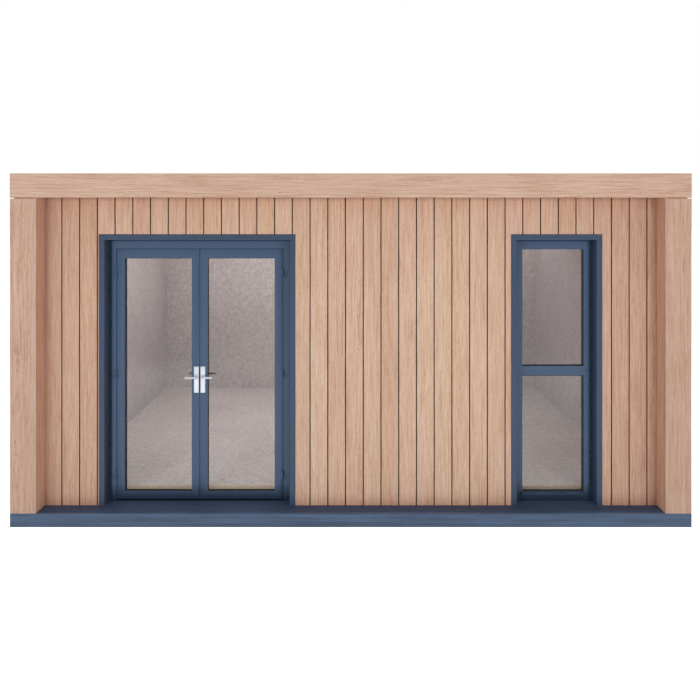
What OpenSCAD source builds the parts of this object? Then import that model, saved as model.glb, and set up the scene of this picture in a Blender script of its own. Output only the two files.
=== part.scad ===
// Garden office pod: timber clad box under a flat roof, with French doors on the left and a tall
// window on the right, both set back in deep painted surrounds.
// Millimetres, Z up, front towards -Y, origin at the middle of the underside.

/* [Building] */
// Overall width, along X
pod_width = 5200; // [3600:10:7000]
// Overall depth, along Y
pod_depth = 3600; // [2600:10:5000]
// Height to the top of the fascia
pod_height = 2700; // [2500:10:3000]
// Thickness of the wall panels behind the cladding
core_thickness = 198; // [120:1:240]
// How far the wings and the roof stand forward of the front cladding
porch_depth = 140; // [80:1:400]
// Width of each wing, seen from the front
wing_width = 200; // [150:1:300]

/* [Base and floor] */
// Height of the base, up to the top of the front ledge
base_height = 105; // [80:1:200]
// Thickness of the ledge boards
deck_thickness = 25; // [18:1:40]
// Room floor above the ledge
floor_rise = 70; // [40:1:120]
// Thickness of the floor covering
floor_finish_thickness = 13; // [6:1:20]
// Thickness of one joist
joist_width = 60; // [40:1:100]
// Number of joists
joist_count = 9; // [5:1:15]

/* [Cladding] */
// Thickness of the boards, also of the fascia and the skirting
board_thickness = 22; // [16:1:30]
// Distance from one shadow gap to the next
board_pitch = 139.1; // [80:0.1:200]
// Width of a shadow gap
groove_width = 8; // [4:1:14]
// Depth of a shadow gap
groove_depth = 12; // [6:1:16]
// First shadow gap on the front, from the inner face of the left wing
first_groove = 133.3; // [20:0.1:200]
// Chamfer along the edges of boards and linings
arris = 2; // [1:0.5:4]
// Width and depth of the drip kerf under the fascia
drip_kerf = 4; // [3:0.5:6]
// Drip kerf behind the face of the fascia
drip_inset = 8; // [5:0.5:10]

/* [Roof] */
// Height of the fascia boards
fascia_height = 185; // [120:1:260]
// Shadow gap between the boards and the fascia
fascia_gap = 8; // [4:1:14]
// Ceiling below the top of the fascia
roof_depth = 310; // [250:1:380]
// Thickness of the ceiling lining
ceiling_thickness = 12; // [9:1:25]
// Thickness of the soffit board
soffit_thickness = 12; // [9:1:25]
// Soffit above the lower edge of the fascia
soffit_rise = 4; // [0:1:20]
// Roof surface below the top of the fascia, at the front
roof_drop = 22; // [15:1:60]
// Fall of the roof from the front to the back
roof_fall = 36; // [0:1:80]
// Thickness of the roof membrane
membrane_thickness = 5; // [3:1:10]

/* [Doors] */
// Cladding between the left wing and the trim of the doorway
opening_margin = 425; // [150:1:800]
// Cladding between the lower edge of the fascia and the openings
header_height = 328; // [270:1:420]
// Open joint between the lining boards
joint_gap = 0.5; // [0.3:0.1:1]
// Width between the linings of the doorway
door_opening = 1450; // [1300:1:1800]
// Thickness of the lining boards, which show as a flat trim
lining_thickness = 45; // [25:1:60]
// How far the lining stands proud of the cladding
lining_proud = 5; // [3:1:40]
// Frames behind the face of the cladding
frame_setback = 88; // [40:1:120]
// Thickness of the frames and the door leaves
frame_thickness = 44; // [40:1:80]
// Face width of the door jambs
jamb_width = 58; // [40:1:80]
// Face height of the door head
head_height = 68; // [40:1:90]
// Gap around each leaf
leaf_gap = 8; // [6:0.5:10]
// Leaf above the ledge
leaf_rise = 18; // [16:1:40]
// Height of the threshold
threshold_height = 12; // [8:1:12]
// Height of the threshold's sloping nose
nose_height = 5; // [3:1:8]
// Clearance between a leaf and the stop behind it
stop_gap = 6; // [5:0.5:8]
// Thickness of the stop
stop_thickness = 15; // [10:1:20]
// How far the stop laps behind a leaf
stop_lap = 14; // [8:1:20]
// Face width of the stiles
stile_width = 60; // [50:1:90]
// Face height of the top rail
top_rail = 72; // [50:1:120]
// Face height of the bottom rail
bottom_rail = 57; // [50:1:200]
// How far each meeting edge leans back, so that a leaf can swing past the other
meeting_bevel = 3; // [2:0.5:8]

/* [Glazing] */
// Glass behind the face of its frame
glass_setback = 16; // [8:1:40]
// Thickness of a glazing unit
unit_thickness = 14; // [12:1:28]
// Thickness of one pane
pane_thickness = 4; // [3:1:6]
// How far the glass goes into its frame
glass_edge = 12; // [8:1:16]
// Space between the edge of the glass and its pocket
pane_play = 2; // [1:0.5:4]
// Splay of the glazing bead on the room side
bead_splay = 7; // [3:0.5:10]

/* [Hinges and handles] */
// Height of each hinge half
hinge_half = 34; // [30:1:60]
// Radius of the hinge knuckles
knuckle_radius = 7; // [6:0.5:9]
// Radius of the hinge pins
pin_radius = 4; // [3:0.5:5]
// Running clearance of pins and spindles
pin_play = 0.2; // [0.1:0.05:0.3]
// Hinge axis in front of the face of the leaf
hinge_offset = 9; // [8:0.5:12]
// Thickness of the hinge flags
flag_thickness = 4; // [3:0.5:5]
// Width of the hinge flags, from the axis
flag_width = 28; // [25:1:45]
// Distance of the outer hinges from the ends of the leaf
hinge_inset = 190; // [120:1:300]
// Width of the handle plates
plate_width = 38; // [30:1:42]
// Height of the handle plates
plate_height = 209; // [150:1:250]
// Thickness of the handle plates
plate_thickness = 9; // [6:1:12]
// Edge of the plate from the meeting edge of the leaf
plate_inset = 3; // [1:0.5:12]
// Top of the plate above the spindle
plate_above = 80; // [50:1:110]
// Spindle above the ledge
lever_height = 991; // [900:1:1100]
// Length of a lever, from its spindle
lever_length = 85; // [80:1:130]
// Radius of the lever bar
lever_radius = 8; // [6:0.5:10]
// Chamfer at the tip of a lever
lever_chamfer = 2; // [1:0.5:4]
// Radius of the neck of a lever
neck_radius = 9.5; // [8:0.5:11]
// Middle of the lever bar in front of the face of the leaf
lever_standoff = 50; // [40:1:60]
// Radius of the spindle
spindle_radius = 5; // [4:0.5:6]
// Radius of the collar of a lever
collar_radius = 14; // [12:0.5:17]
// Height of the collar of a lever
collar_height = 8; // [5:0.5:10]

/* [Window] */
// Cladding between the right wing and the trim of the window
window_margin = 428; // [150:1:800]
// Width between the linings of the window
window_opening = 624; // [450:1:1000]
// Face width of the window jambs
window_jamb = 67; // [45:1:80]
// Face height of the window head
window_head = 75; // [45:1:90]
// Face height of the bottom of the window frame
window_bottom = 72; // [60:1:120]
// Middle of the transom above the ledge
transom_height = 1036.5; // [800:0.5:1400]
// Face height of the transom
transom_width = 74; // [45:1:90]
// Height of the weather bar
drip_height = 16; // [12:1:32]
// How far the weather bar stands out
drip_depth = 24; // [14:1:32]
// How far the weather bar runs past the glass at each end
drip_lap = 12; // [4:1:18]

/* [Hidden] */
$fn = 64;
half_w = pod_width / 2;
half_d = pod_depth / 2;
eps = 1;

// Planes along Y, from the front to the back
front = -half_d;
back = half_d;
front_clad = front + porch_depth;
front_core = front_clad + board_thickness;
front_inside = front_core + core_thickness;
back_clad = back - board_thickness;
back_inside = back_clad - core_thickness;
lining_front = front_clad - lining_proud;
frame_front = front_clad + frame_setback;
frame_back = frame_front + frame_thickness;
stop_front = frame_back + stop_gap;
stop_back = stop_front + stop_thickness;

// Planes along X, right of the middle
side_clad = half_w - board_thickness;
side_inside = side_clad - core_thickness;
wing_inside = half_w - wing_width;

// Planes along Z
floor_top = base_height + floor_rise;
floor_bottom = floor_top - floor_finish_thickness;
ceiling_bottom = pod_height - roof_depth;
core_top = ceiling_bottom + ceiling_thickness;
fascia_bottom = pod_height - fascia_height;
board_top = fascia_bottom - fascia_gap;
soffit_bottom = fascia_bottom + soffit_rise;
soffit_top = soffit_bottom + soffit_thickness;
roof_front_top = pod_height - roof_drop;
roof_back_top = roof_front_top - roof_fall;
opening_top = fascia_bottom - header_height;
lining_top = opening_top + lining_thickness;

// Openings, from the middle of each
door_half = door_opening / 2;
door_outer = door_half + lining_thickness;
door_x = -wing_inside + opening_margin + door_outer;
window_half = window_opening / 2;
window_outer = window_half + lining_thickness;
window_x = wing_inside - window_margin - window_outer;

// Door leaves, each drawn with its hinge edge at x = 0 and its meeting edge at x = leaf_width
leaf_bottom = base_height + leaf_rise;
leaf_top = opening_top - head_height - leaf_gap;
leaf_height = leaf_top - leaf_bottom;
leaf_width = (door_opening - 2 * jamb_width - 3 * leaf_gap) / 2;
hinge_edge = door_half - jamb_width - leaf_gap;
hinge_y = frame_front - hinge_offset;
hinge_heights = [
    leaf_bottom + hinge_inset,
    leaf_bottom + leaf_height / 2,
    leaf_top - hinge_inset
];
bore_radius = pin_radius + pin_play;
spindle_x = leaf_width - plate_inset - plate_width / 2;
spindle_z = base_height + lever_height;
neck_bore = neck_radius + pin_play;
spindle_bore = spindle_radius + 1;

timber = [0.76, 0.60, 0.51];
sawn = [0.72, 0.62, 0.48];
paint = [0.30, 0.36, 0.45];
plaster = [0.66, 0.63, 0.60];
tan = [0.62, 0.55, 0.48];
clear = [0.75, 0.82, 0.84, 0.5];
silver = [0.82, 0.83, 0.85];
black = [0.16, 0.17, 0.18];

// A box between two corners
module block(low, high) {
    translate(low) cube(high - low);
}

// Draws its children again, mirrored across X
module on_right() {
    mirror([1, 0, 0]) children();
}

// Draws its children on the left, and mirrored on the right
module on_both_sides() {
    children();
    on_right() children();
}

// An upright outline, drawn in X and Z, that runs back from y by depth
module upright(y, depth) {
    translate([0, y + depth, 0]) rotate([90, 0, 0]) linear_extrude(depth) children();
}

// A rectangle between two corners
module sheet(low, high) {
    translate(low) square(high - low);
}

// A rectangle with round corners
module round_sheet(low, high, radius) {
    sheet(low + [radius, 0], high - [radius, 0]);
    sheet(low + [0, radius], high - [0, radius]);
    for (x = [low[0] + radius, high[0] - radius], z = [low[1] + radius, high[1] - radius]) {
        translate([x, z]) circle(radius);
    }
}

// Boards round the building from one section. The front and back boards run through, and the
// sides stand between them
module board_ring(z, sides) {
    for (side = sides) {
        if (side == "front" || side == "back") {
            mirror([0, side == "back" ? 1 : 0, 0]) translate([-half_w, front, z]) {
                rotate([90, 0, 90]) linear_extrude(pod_width) children();
            }
        } else {
            mirror([side == "right" ? 1 : 0, 0, 0]) translate([-half_w, back_clad - eps, z]) {
                rotate([90, 0, 0]) linear_extrude(2 * (back_clad - eps)) children();
            }
        }
    }
}

// Base and floor

// Section of a skirting board: thickness along x from its face, height along y
module skirt_section() {
    polygon([
        [0, 0],
        [board_thickness, 0],
        [board_thickness, base_height],
        [arris, base_height],
        [0, base_height - arris]
    ]);
}

module base_skirt() {
    color(paint) board_ring(0, ["front", "back", "left", "right"]) skirt_section();
}

module floor_joists() {
    run = 2 * side_clad - joist_width;
    color(sawn) for (i = [0 : joist_count - 1]) {
        x = -side_clad + i * run / (joist_count - 1);
        difference() {
            block([x, front + board_thickness, 0], [x + joist_width, back_clad, base_height]);
            block([x - eps, front, base_height - deck_thickness],
                [x + joist_width + eps, front_inside, base_height + eps]);
        }
    }
}

module front_deck() {
    color(paint) block([-side_clad, front + board_thickness, base_height - deck_thickness],
        [side_clad, front_inside, base_height]);
}

module floor_panel() {
    color(sawn) block([-side_inside, front_inside, base_height],
        [side_inside, back_inside, floor_bottom]);
}

module floor_finish() {
    color(plaster) block([-side_inside, front_inside, floor_bottom],
        [side_inside, back_inside, floor_top]);
}

// Wall panels

module front_panel(low_x, high_x, low_z) {
    color(plaster) block([low_x, front_core, low_z], [high_x, front_inside, core_top]);
}

module front_wall_left() {
    front_panel(-side_inside, door_x - door_outer, base_height);
}

module front_wall_middle() {
    front_panel(door_x + door_outer, window_x - window_outer, base_height);
}

module front_wall_right() {
    front_panel(window_x + window_outer, side_inside, base_height);
}

module front_wall_heads() {
    front_panel(door_x - door_outer, door_x + door_outer, lining_top);
    front_panel(window_x - window_outer, window_x + window_outer, lining_top);
}

module left_wall() {
    color(plaster) block([-side_clad, front_core, base_height], [-side_inside, back_clad, core_top]);
}

module right_wall() {
    on_right() left_wall();
}

module back_wall() {
    color(plaster) block([-side_inside, back_inside, base_height],
        [side_inside, back_clad, core_top]);
}

// Cladding: rows of boards whose tongues show as the bottom of the shadow gaps

// Plan section of a row from x = low to high, with its face at y = 0 and a gap centred on x = gap
module board_section(low, high, gap) {
    face = board_pitch - groove_width;
    start = gap + groove_width / 2 - board_pitch * ceil((gap - low) / board_pitch + 1);
    intersection() {
        sheet([low, 0], [high, board_thickness]);
        union() {
            sheet([low - eps, groove_depth], [high + eps, board_thickness]);
            for (x = [start : board_pitch : high]) translate([x, 0]) polygon([
                [0, arris],
                [arris, 0],
                [face - arris, 0],
                [face, arris],
                [face, board_thickness],
                [0, board_thickness]
            ]);
        }
    }
}

// One panel of the front. The shadow gaps run on in one row from panel to panel
module front_boards(low_x, high_x, low_z) {
    color(timber) translate([0, front_clad, low_z]) linear_extrude(soffit_bottom - low_z) {
        board_section(low_x, high_x, -wing_inside + first_groove);
    }
}

module front_cladding_left() {
    front_boards(-wing_inside, door_x - door_outer, base_height);
}

module front_cladding_middle() {
    front_boards(door_x + door_outer, window_x - window_outer, base_height);
}

module front_cladding_right() {
    front_boards(window_x + window_outer, wing_inside, base_height);
}

module front_cladding_heads() {
    front_boards(door_x - door_outer, door_x + door_outer, lining_top);
    front_boards(window_x - window_outer, window_x + window_outer, lining_top);
}

module side_cladding() {
    start = front + board_thickness;
    color(timber) on_both_sides() translate([-half_w, 0, base_height]) mirror([1, -1, 0]) {
        linear_extrude(board_top - base_height) {
            board_section(start, back_clad, start + first_groove);
        }
    }
}

module back_cladding() {
    color(timber) translate([0, back, base_height]) mirror([0, 1, 0]) {
        linear_extrude(board_top - base_height) {
            board_section(-half_w, half_w, -half_w + first_groove);
        }
    }
}

// Wings: a post cased with wide boards, which stop short of the fascia

module wing_posts() {
    color(sawn) on_both_sides() block([-side_clad, front + board_thickness, base_height],
        [-wing_inside - board_thickness, front_core, soffit_bottom]);
}

module wing_casings() {
    color(timber) on_both_sides() translate([0, 0, base_height]) {
        linear_extrude(board_top - base_height) polygon([
            [-half_w, front + arris],
            [-half_w + arris, front],
            [-wing_inside - arris, front],
            [-wing_inside, front + arris],
            [-wing_inside, front_core],
            [-wing_inside - board_thickness, front_core],
            [-wing_inside - board_thickness, front + board_thickness],
            [-half_w, front + board_thickness]
        ]);
    }
}

// Roof

// The slope of the roof, as an outline in Y and Z that runs the width of the roof
module roof_slope(low_y, high_y, low_z, lift) {
    reach = back - front - 2 * board_thickness;
    slope = (roof_back_top - roof_front_top) / reach;
    start = front + board_thickness;
    translate([-side_clad, 0, 0]) rotate([90, 0, 90]) linear_extrude(2 * side_clad) polygon([
        [low_y, low_z],
        [high_y, low_z],
        [high_y, roof_front_top + slope * (high_y - start) + lift],
        [low_y, roof_front_top + slope * (low_y - start) + lift]
    ]);
}

module roof_panel() {
    color(sawn) roof_slope(front_core, back_clad, core_top, 0);
}

module roof_overhang() {
    color(sawn) roof_slope(front + board_thickness, front_core, soffit_top, 0);
}

// A shallow tray: the membrane turns up against the fascia on all sides
module roof_membrane() {
    tray_top = pod_height - membrane_thickness;
    lip = membrane_thickness;
    color(black) difference() {
        block([-side_clad, front + board_thickness, roof_back_top],
            [side_clad, back_clad, tray_top]);
        roof_panel();
        roof_overhang();
        intersection() {
            block([-side_clad + lip, front + board_thickness + lip, 0],
                [side_clad - lip, back_clad - lip, pod_height + eps]);
            difference() {
                block([-half_w, front, 0], [half_w, back, pod_height + 2 * eps]);
                roof_slope(front, back, 0, membrane_thickness);
            }
        }
    }
}

module ceiling() {
    color(plaster) block([-side_inside, front_inside, ceiling_bottom],
        [side_inside, back_inside, core_top]);
}

module soffit() {
    color(timber) block([-side_clad, front + board_thickness, soffit_bottom],
        [side_clad, front_core, soffit_top]);
}

// Section of a fascia board, with a drip kerf under it
module fascia_section() {
    difference() {
        polygon([
            [arris, 0],
            [board_thickness, 0],
            [board_thickness, fascia_height],
            [arris, fascia_height],
            [0, fascia_height - arris],
            [0, arris]
        ]);
        sheet([drip_inset, -eps], [drip_inset + drip_kerf, drip_kerf]);
    }
}

module fascia_front() {
    color(timber) board_ring(fascia_bottom, ["front"]) fascia_section();
}

module fascia_returns() {
    color(timber) board_ring(fascia_bottom, ["back", "left", "right"]) fascia_section();
}

// Surrounds: lining boards from the trim face through to the room

// Section of a lining board: thickness along x, depth along y, with its trim face at y = 0
module lining_section() {
    polygon([
        [0, arris],
        [arris, 0],
        [lining_thickness - arris, 0],
        [lining_thickness, arris],
        [lining_thickness, front_inside - lining_front],
        [0, front_inside - lining_front]
    ]);
}

module surround(middle, half) {
    outer = half + lining_thickness;
    color(paint) translate([middle, lining_front, 0]) {
        for (x = [-outer, half]) {
            translate([x, 0, base_height]) linear_extrude(opening_top - base_height - joint_gap) {
                lining_section();
            }
        }
        translate([outer, 0, opening_top]) rotate([0, -90, 0]) linear_extrude(2 * outer) {
            lining_section();
        }
    }
}

module door_surround() {
    surround(door_x, door_half);
}

module window_surround() {
    surround(window_x, window_half);
}

module inner_sills() {
    color(tan) {
        block([door_x - door_half + jamb_width, stop_front, base_height],
            [door_x + door_half - jamb_width, front_inside, floor_top]);
        block([window_x - window_half, frame_back, base_height],
            [window_x + window_half, front_inside, floor_top]);
    }
}

// Doors

// Outline of the frame round a clear opening, drawn in X and Z
module frame_outline(lap, low_z) {
    difference() {
        sheet([-door_half, low_z], [door_half, opening_top]);
        sheet([-door_half + jamb_width + lap, 0],
            [door_half - jamb_width - lap, opening_top - head_height - lap]);
    }
}

// Two jambs and a head, rebated for the leaves: the stop stands behind them
module door_frame() {
    color(paint) translate([door_x, 0, 0]) {
        upright(frame_front, stop_back - frame_front) frame_outline(0, base_height);
        upright(stop_front, stop_thickness) frame_outline(leaf_gap + stop_lap, floor_top);
    }
}

// A low threshold with a sloping nose
module door_threshold() {
    clear_half = door_half - jamb_width;
    color(silver) translate([door_x - clear_half, frame_front, base_height]) rotate([90, 0, 90]) {
        linear_extrude(2 * clear_half) polygon([
            [0, 0],
            [frame_thickness + stop_gap, 0],
            [frame_thickness + stop_gap, threshold_height],
            [frame_thickness / 2, threshold_height],
            [0, nose_height]
        ]);
    }
}

// Places a leaf piece, drawn from its hinge edge at x = 0, on the left or the right
module hang(side) {
    if (side == "left") {
        translate([door_x - hinge_edge, 0, 0]) children();
    } else {
        translate([door_x + hinge_edge, 0, 0]) mirror([1, 0, 0]) children();
    }
}

// A four-sided opening from y to y + depth that widens from one size to another: two wedges
// crossed, one seen from above and one from the side
module splayed(low, high, y, depth, flare_front, flare_back) {
    intersection() {
        translate([0, 0, low[1] - flare_front - flare_back]) {
            linear_extrude(high[1] - low[1] + 2 * (flare_front + flare_back)) polygon([
                [low[0] - flare_front, y],
                [high[0] + flare_front, y],
                [high[0] + flare_back, y + depth],
                [low[0] - flare_back, y + depth]
            ]);
        }
        translate([low[0] - flare_front - flare_back, 0, 0]) rotate([90, 0, 90]) {
            linear_extrude(high[0] - low[0] + 2 * (flare_front + flare_back)) polygon([
                [y, low[1] - flare_front],
                [y + depth, low[1] - flare_back],
                [y + depth, high[1] + flare_back],
                [y, high[1] + flare_front]
            ]);
        }
    }
}

// Everything cut away for one glazing unit: the clear opening, an eased edge on the outside, the
// pocket that holds the glass, and the splay of the bead on the room side
module glazed_opening(low, high) {
    bead_front = frame_front + glass_setback + unit_thickness;
    upright(frame_front - eps, frame_thickness + 2 * eps) sheet(low, high);
    splayed(low, high, frame_front, arris, arris, 0);
    upright(frame_front + glass_setback, unit_thickness) {
        sheet(low - [glass_edge, glass_edge], high + [glass_edge, glass_edge]);
    }
    splayed(low, high, bead_front, frame_back - bead_front, 0, bead_splay);
}

// Two panes that stand in a pocket, on its lower edge and against its two sides
module unit(low, high) {
    reach = glass_edge - pane_play;
    for (y = [0, unit_thickness - pane_thickness]) {
        upright(frame_front + glass_setback + y, pane_thickness) {
            sheet(low - [reach, glass_edge], high + [reach, reach]);
        }
    }
}

leaf_low = [stile_width, leaf_bottom + bottom_rail];
leaf_high = [leaf_width - stile_width, leaf_top - top_rail];

// The leaf is one welded frame. Its meeting edge leans back, to clear the other leaf
module leaf() {
    color(paint) difference() {
        translate([0, 0, leaf_bottom]) linear_extrude(leaf_height) polygon([
            [0, frame_front],
            [leaf_width, frame_front],
            [leaf_width - meeting_bevel, frame_back],
            [0, frame_back]
        ]);
        glazed_opening(leaf_low, leaf_high);
        translate([spindle_x, frame_front - eps, spindle_z]) rotate([-90, 0, 0]) {
            cylinder(r = spindle_bore, h = frame_thickness + 2 * eps);
        }
    }
}

module left_door_leaf() {
    hang("left") leaf();
}

module right_door_leaf() {
    hang("right") leaf();
}

module left_door_glass() {
    color(clear) hang("left") unit(leaf_low, leaf_high);
}

module right_door_glass() {
    color(clear) hang("right") unit(leaf_low, leaf_high);
}

// Hinges: the lower half stands on the jamb and carries the pin, the upper half turns on it

module frame_hinge(z) {
    translate([-leaf_gap / 2, hinge_y, z]) {
        translate([0, 0, -hinge_half]) cylinder(r = knuckle_radius, h = hinge_half - pin_play);
        translate([0, 0, -eps]) cylinder(r = pin_radius, h = hinge_half + 4);
        block([-flag_width, hinge_offset - flag_thickness, -hinge_half],
            [0, hinge_offset, -pin_play]);
    }
}

module leaf_hinge(z) {
    translate([-leaf_gap / 2, hinge_y, z]) difference() {
        union() {
            cylinder(r = knuckle_radius, h = hinge_half);
            block([0, hinge_offset - flag_thickness, 0], [flag_width, hinge_offset, hinge_half]);
        }
        translate([0, 0, -eps]) cylinder(r = bore_radius, h = hinge_half + 2 * eps);
    }
}

module frame_hinges() {
    color(paint) for (side = ["left", "right"], z = hinge_heights) {
        hang(side) frame_hinge(z);
    }
}

module left_door_hinges() {
    color(paint) for (z = hinge_heights) {
        hang("left") leaf_hinge(z);
    }
}

module right_door_hinges() {
    color(paint) for (z = hinge_heights) {
        hang("right") leaf_hinge(z);
    }
}

// Handles: a plate on each face and two levers on one spindle

module plate(y) {
    low = [spindle_x - plate_width / 2, spindle_z + plate_above - plate_height];
    high = [spindle_x + plate_width / 2, spindle_z + plate_above];
    difference() {
        upright(y, plate_thickness) round_sheet(low, high, 4);
        translate([spindle_x, y - eps, spindle_z]) rotate([-90, 0, 0]) {
            cylinder(r = neck_bore, h = plate_thickness + 2 * eps);
        }
    }
}

module handle_plates() {
    color(silver) {
        plate(frame_front - plate_thickness);
        plate(frame_back);
    }
}

// The neck and the bar of one lever, from the face of the leaf, standing out along -Y. Both are
// turned: the neck with a collar that covers the hole in the plate, the bar with an eased tip
module lever_arm() {
    seat = plate_thickness + pin_play;
    tip = lever_standoff + neck_radius;
    rotate([90, 0, 0]) rotate_extrude() polygon([
        [0, 0],
        [neck_radius, 0],
        [neck_radius, seat],
        [collar_radius, seat],
        [collar_radius, seat + collar_height / 2],
        [neck_radius, seat + collar_height],
        [neck_radius, tip - lever_chamfer],
        [neck_radius - lever_chamfer, tip],
        [0, tip]
    ]);
    translate([0, -lever_standoff, 0]) rotate([0, -90, 0]) rotate_extrude() polygon([
        [0, 0],
        [lever_radius, 0],
        [lever_radius, lever_length - lever_chamfer],
        [lever_radius - lever_chamfer, lever_length],
        [0, lever_length]
    ]);
}

module lever() {
    color(silver) translate([spindle_x, 0, spindle_z]) {
        translate([0, frame_front - 2 * eps, 0]) rotate([-90, 0, 0]) {
            cylinder(r = spindle_radius, h = frame_thickness + 4 * eps);
        }
        translate([0, frame_front - pin_play, 0]) lever_arm();
        translate([0, frame_back + pin_play, 0]) mirror([0, 1, 0]) lever_arm();
    }
}

module left_handle_plates() {
    hang("left") handle_plates();
}

module right_handle_plates() {
    hang("right") handle_plates();
}

module left_lever() {
    hang("left") lever();
}

module right_lever() {
    hang("right") lever();
}

// Window

pane_left = -window_half + window_jamb;
pane_right = window_half - window_jamb;
lower_low = [pane_left, base_height + window_bottom];
lower_high = [pane_right, base_height + transom_height - transom_width / 2];
upper_low = [pane_left, base_height + transom_height + transom_width / 2];
upper_high = [pane_right, opening_top - window_head];

// The frame with its transom, and a sloping weather bar below the lower pane
module window_frame() {
    color(paint) translate([window_x, 0, 0]) {
        difference() {
            upright(frame_front, frame_thickness) {
                sheet([-window_half, base_height], [window_half, opening_top]);
            }
            glazed_opening(lower_low, lower_high);
            glazed_opening(upper_low, upper_high);
        }
        translate([pane_left - drip_lap, frame_front, lower_low[1]]) rotate([90, 0, 90]) {
            linear_extrude(pane_right - pane_left + 2 * drip_lap) polygon([
                [eps, 0],
                [0, 0],
                [-drip_depth, -drip_height + 8],
                [-drip_depth, -drip_height],
                [eps, -drip_height]
            ]);
        }
    }
}

module window_glass() {
    color(clear) translate([window_x, 0, 0]) {
        unit(lower_low, lower_high);
        unit(upper_low, upper_high);
    }
}

base_skirt();
floor_joists();
front_deck();
floor_panel();
floor_finish();
front_wall_left();
front_wall_middle();
front_wall_right();
front_wall_heads();
left_wall();
right_wall();
back_wall();
front_cladding_left();
front_cladding_middle();
front_cladding_right();
front_cladding_heads();
side_cladding();
back_cladding();
wing_posts();
wing_casings();
roof_panel();
roof_overhang();
roof_membrane();
ceiling();
soffit();
fascia_front();
fascia_returns();
door_surround();
door_frame();
door_threshold();
inner_sills();
left_door_leaf();
right_door_leaf();
left_door_glass();
right_door_glass();
frame_hinges();
left_door_hinges();
right_door_hinges();
left_handle_plates();
right_handle_plates();
left_lever();
right_lever();
window_surround();
window_frame();
window_glass();
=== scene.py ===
"""Garden office pod: the finishes, boards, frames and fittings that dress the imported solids.

Metres, Z up, front towards -Y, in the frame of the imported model. Every new piece is a closed
surface worked out with numpy: rings of points carried along a path, joined ring to ring.
"""

import logging
import math
from dataclasses import dataclass, field, replace
from enum import Enum
from typing import Callable, Union

import bpy
import numpy as np
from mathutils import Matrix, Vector


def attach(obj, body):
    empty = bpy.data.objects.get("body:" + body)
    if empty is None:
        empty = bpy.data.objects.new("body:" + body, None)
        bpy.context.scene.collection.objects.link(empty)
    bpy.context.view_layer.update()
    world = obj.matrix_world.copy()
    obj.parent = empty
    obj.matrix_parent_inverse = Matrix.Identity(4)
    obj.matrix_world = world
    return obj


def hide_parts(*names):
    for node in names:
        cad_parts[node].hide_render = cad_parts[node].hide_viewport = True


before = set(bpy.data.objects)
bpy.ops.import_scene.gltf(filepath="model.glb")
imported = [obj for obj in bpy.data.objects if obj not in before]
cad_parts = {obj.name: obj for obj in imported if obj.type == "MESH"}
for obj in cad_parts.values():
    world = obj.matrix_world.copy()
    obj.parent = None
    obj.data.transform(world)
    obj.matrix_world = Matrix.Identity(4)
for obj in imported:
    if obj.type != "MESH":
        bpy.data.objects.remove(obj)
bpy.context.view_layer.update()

logging.basicConfig(level=logging.INFO, format="%(name)s: %(message)s")
log = logging.getLogger("pod")

Array = np.ndarray
Socket = bpy.types.NodeSocket
Feed = Union[float, tuple, Socket]
Tone = tuple[int, int, int]
Material = bpy.types.Material
MaybeArray = Union[Array, None]
Pair = tuple[float, float]
Triple = tuple[float, float, float]
Four = tuple[float, float, float, float]

SHELL = "shell"

X, Y, Z = (1, 0, 0), (0, 1, 0), (0, 0, 1)
FORE, DOWN = (0, -1, 0), (0, 0, -1)


# Finishes


def linear(tone: Tone) -> Four:
    """Turns a screen tone into the linear colour that a shader takes.

    Args:
        tone: red, green and blue from 0 to 255.

    Returns:
        Linear red, green, blue and an alpha of 1.
    """
    part = np.array(tone) / 255.0
    value = np.where(part <= 0.04045, part / 12.92, ((part + 0.055) / 1.055) ** 2.4)
    return (float(value[0]), float(value[1]), float(value[2]), 1.0)


def scaled(tone: Tone, factor: float) -> Tone:
    """A screen tone times a factor, held between 0 and 255."""
    red, green, blue = np.clip(np.array(tone) * factor, 0, 255).astype(int).tolist()
    return (red, green, blue)


class Grain(Enum):
    """The way that a grain runs: along its board, or along one axis of the pod."""

    BOARD = "board"
    X = "yzx"
    Y = "xzy"
    Z = "xyz"


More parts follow.
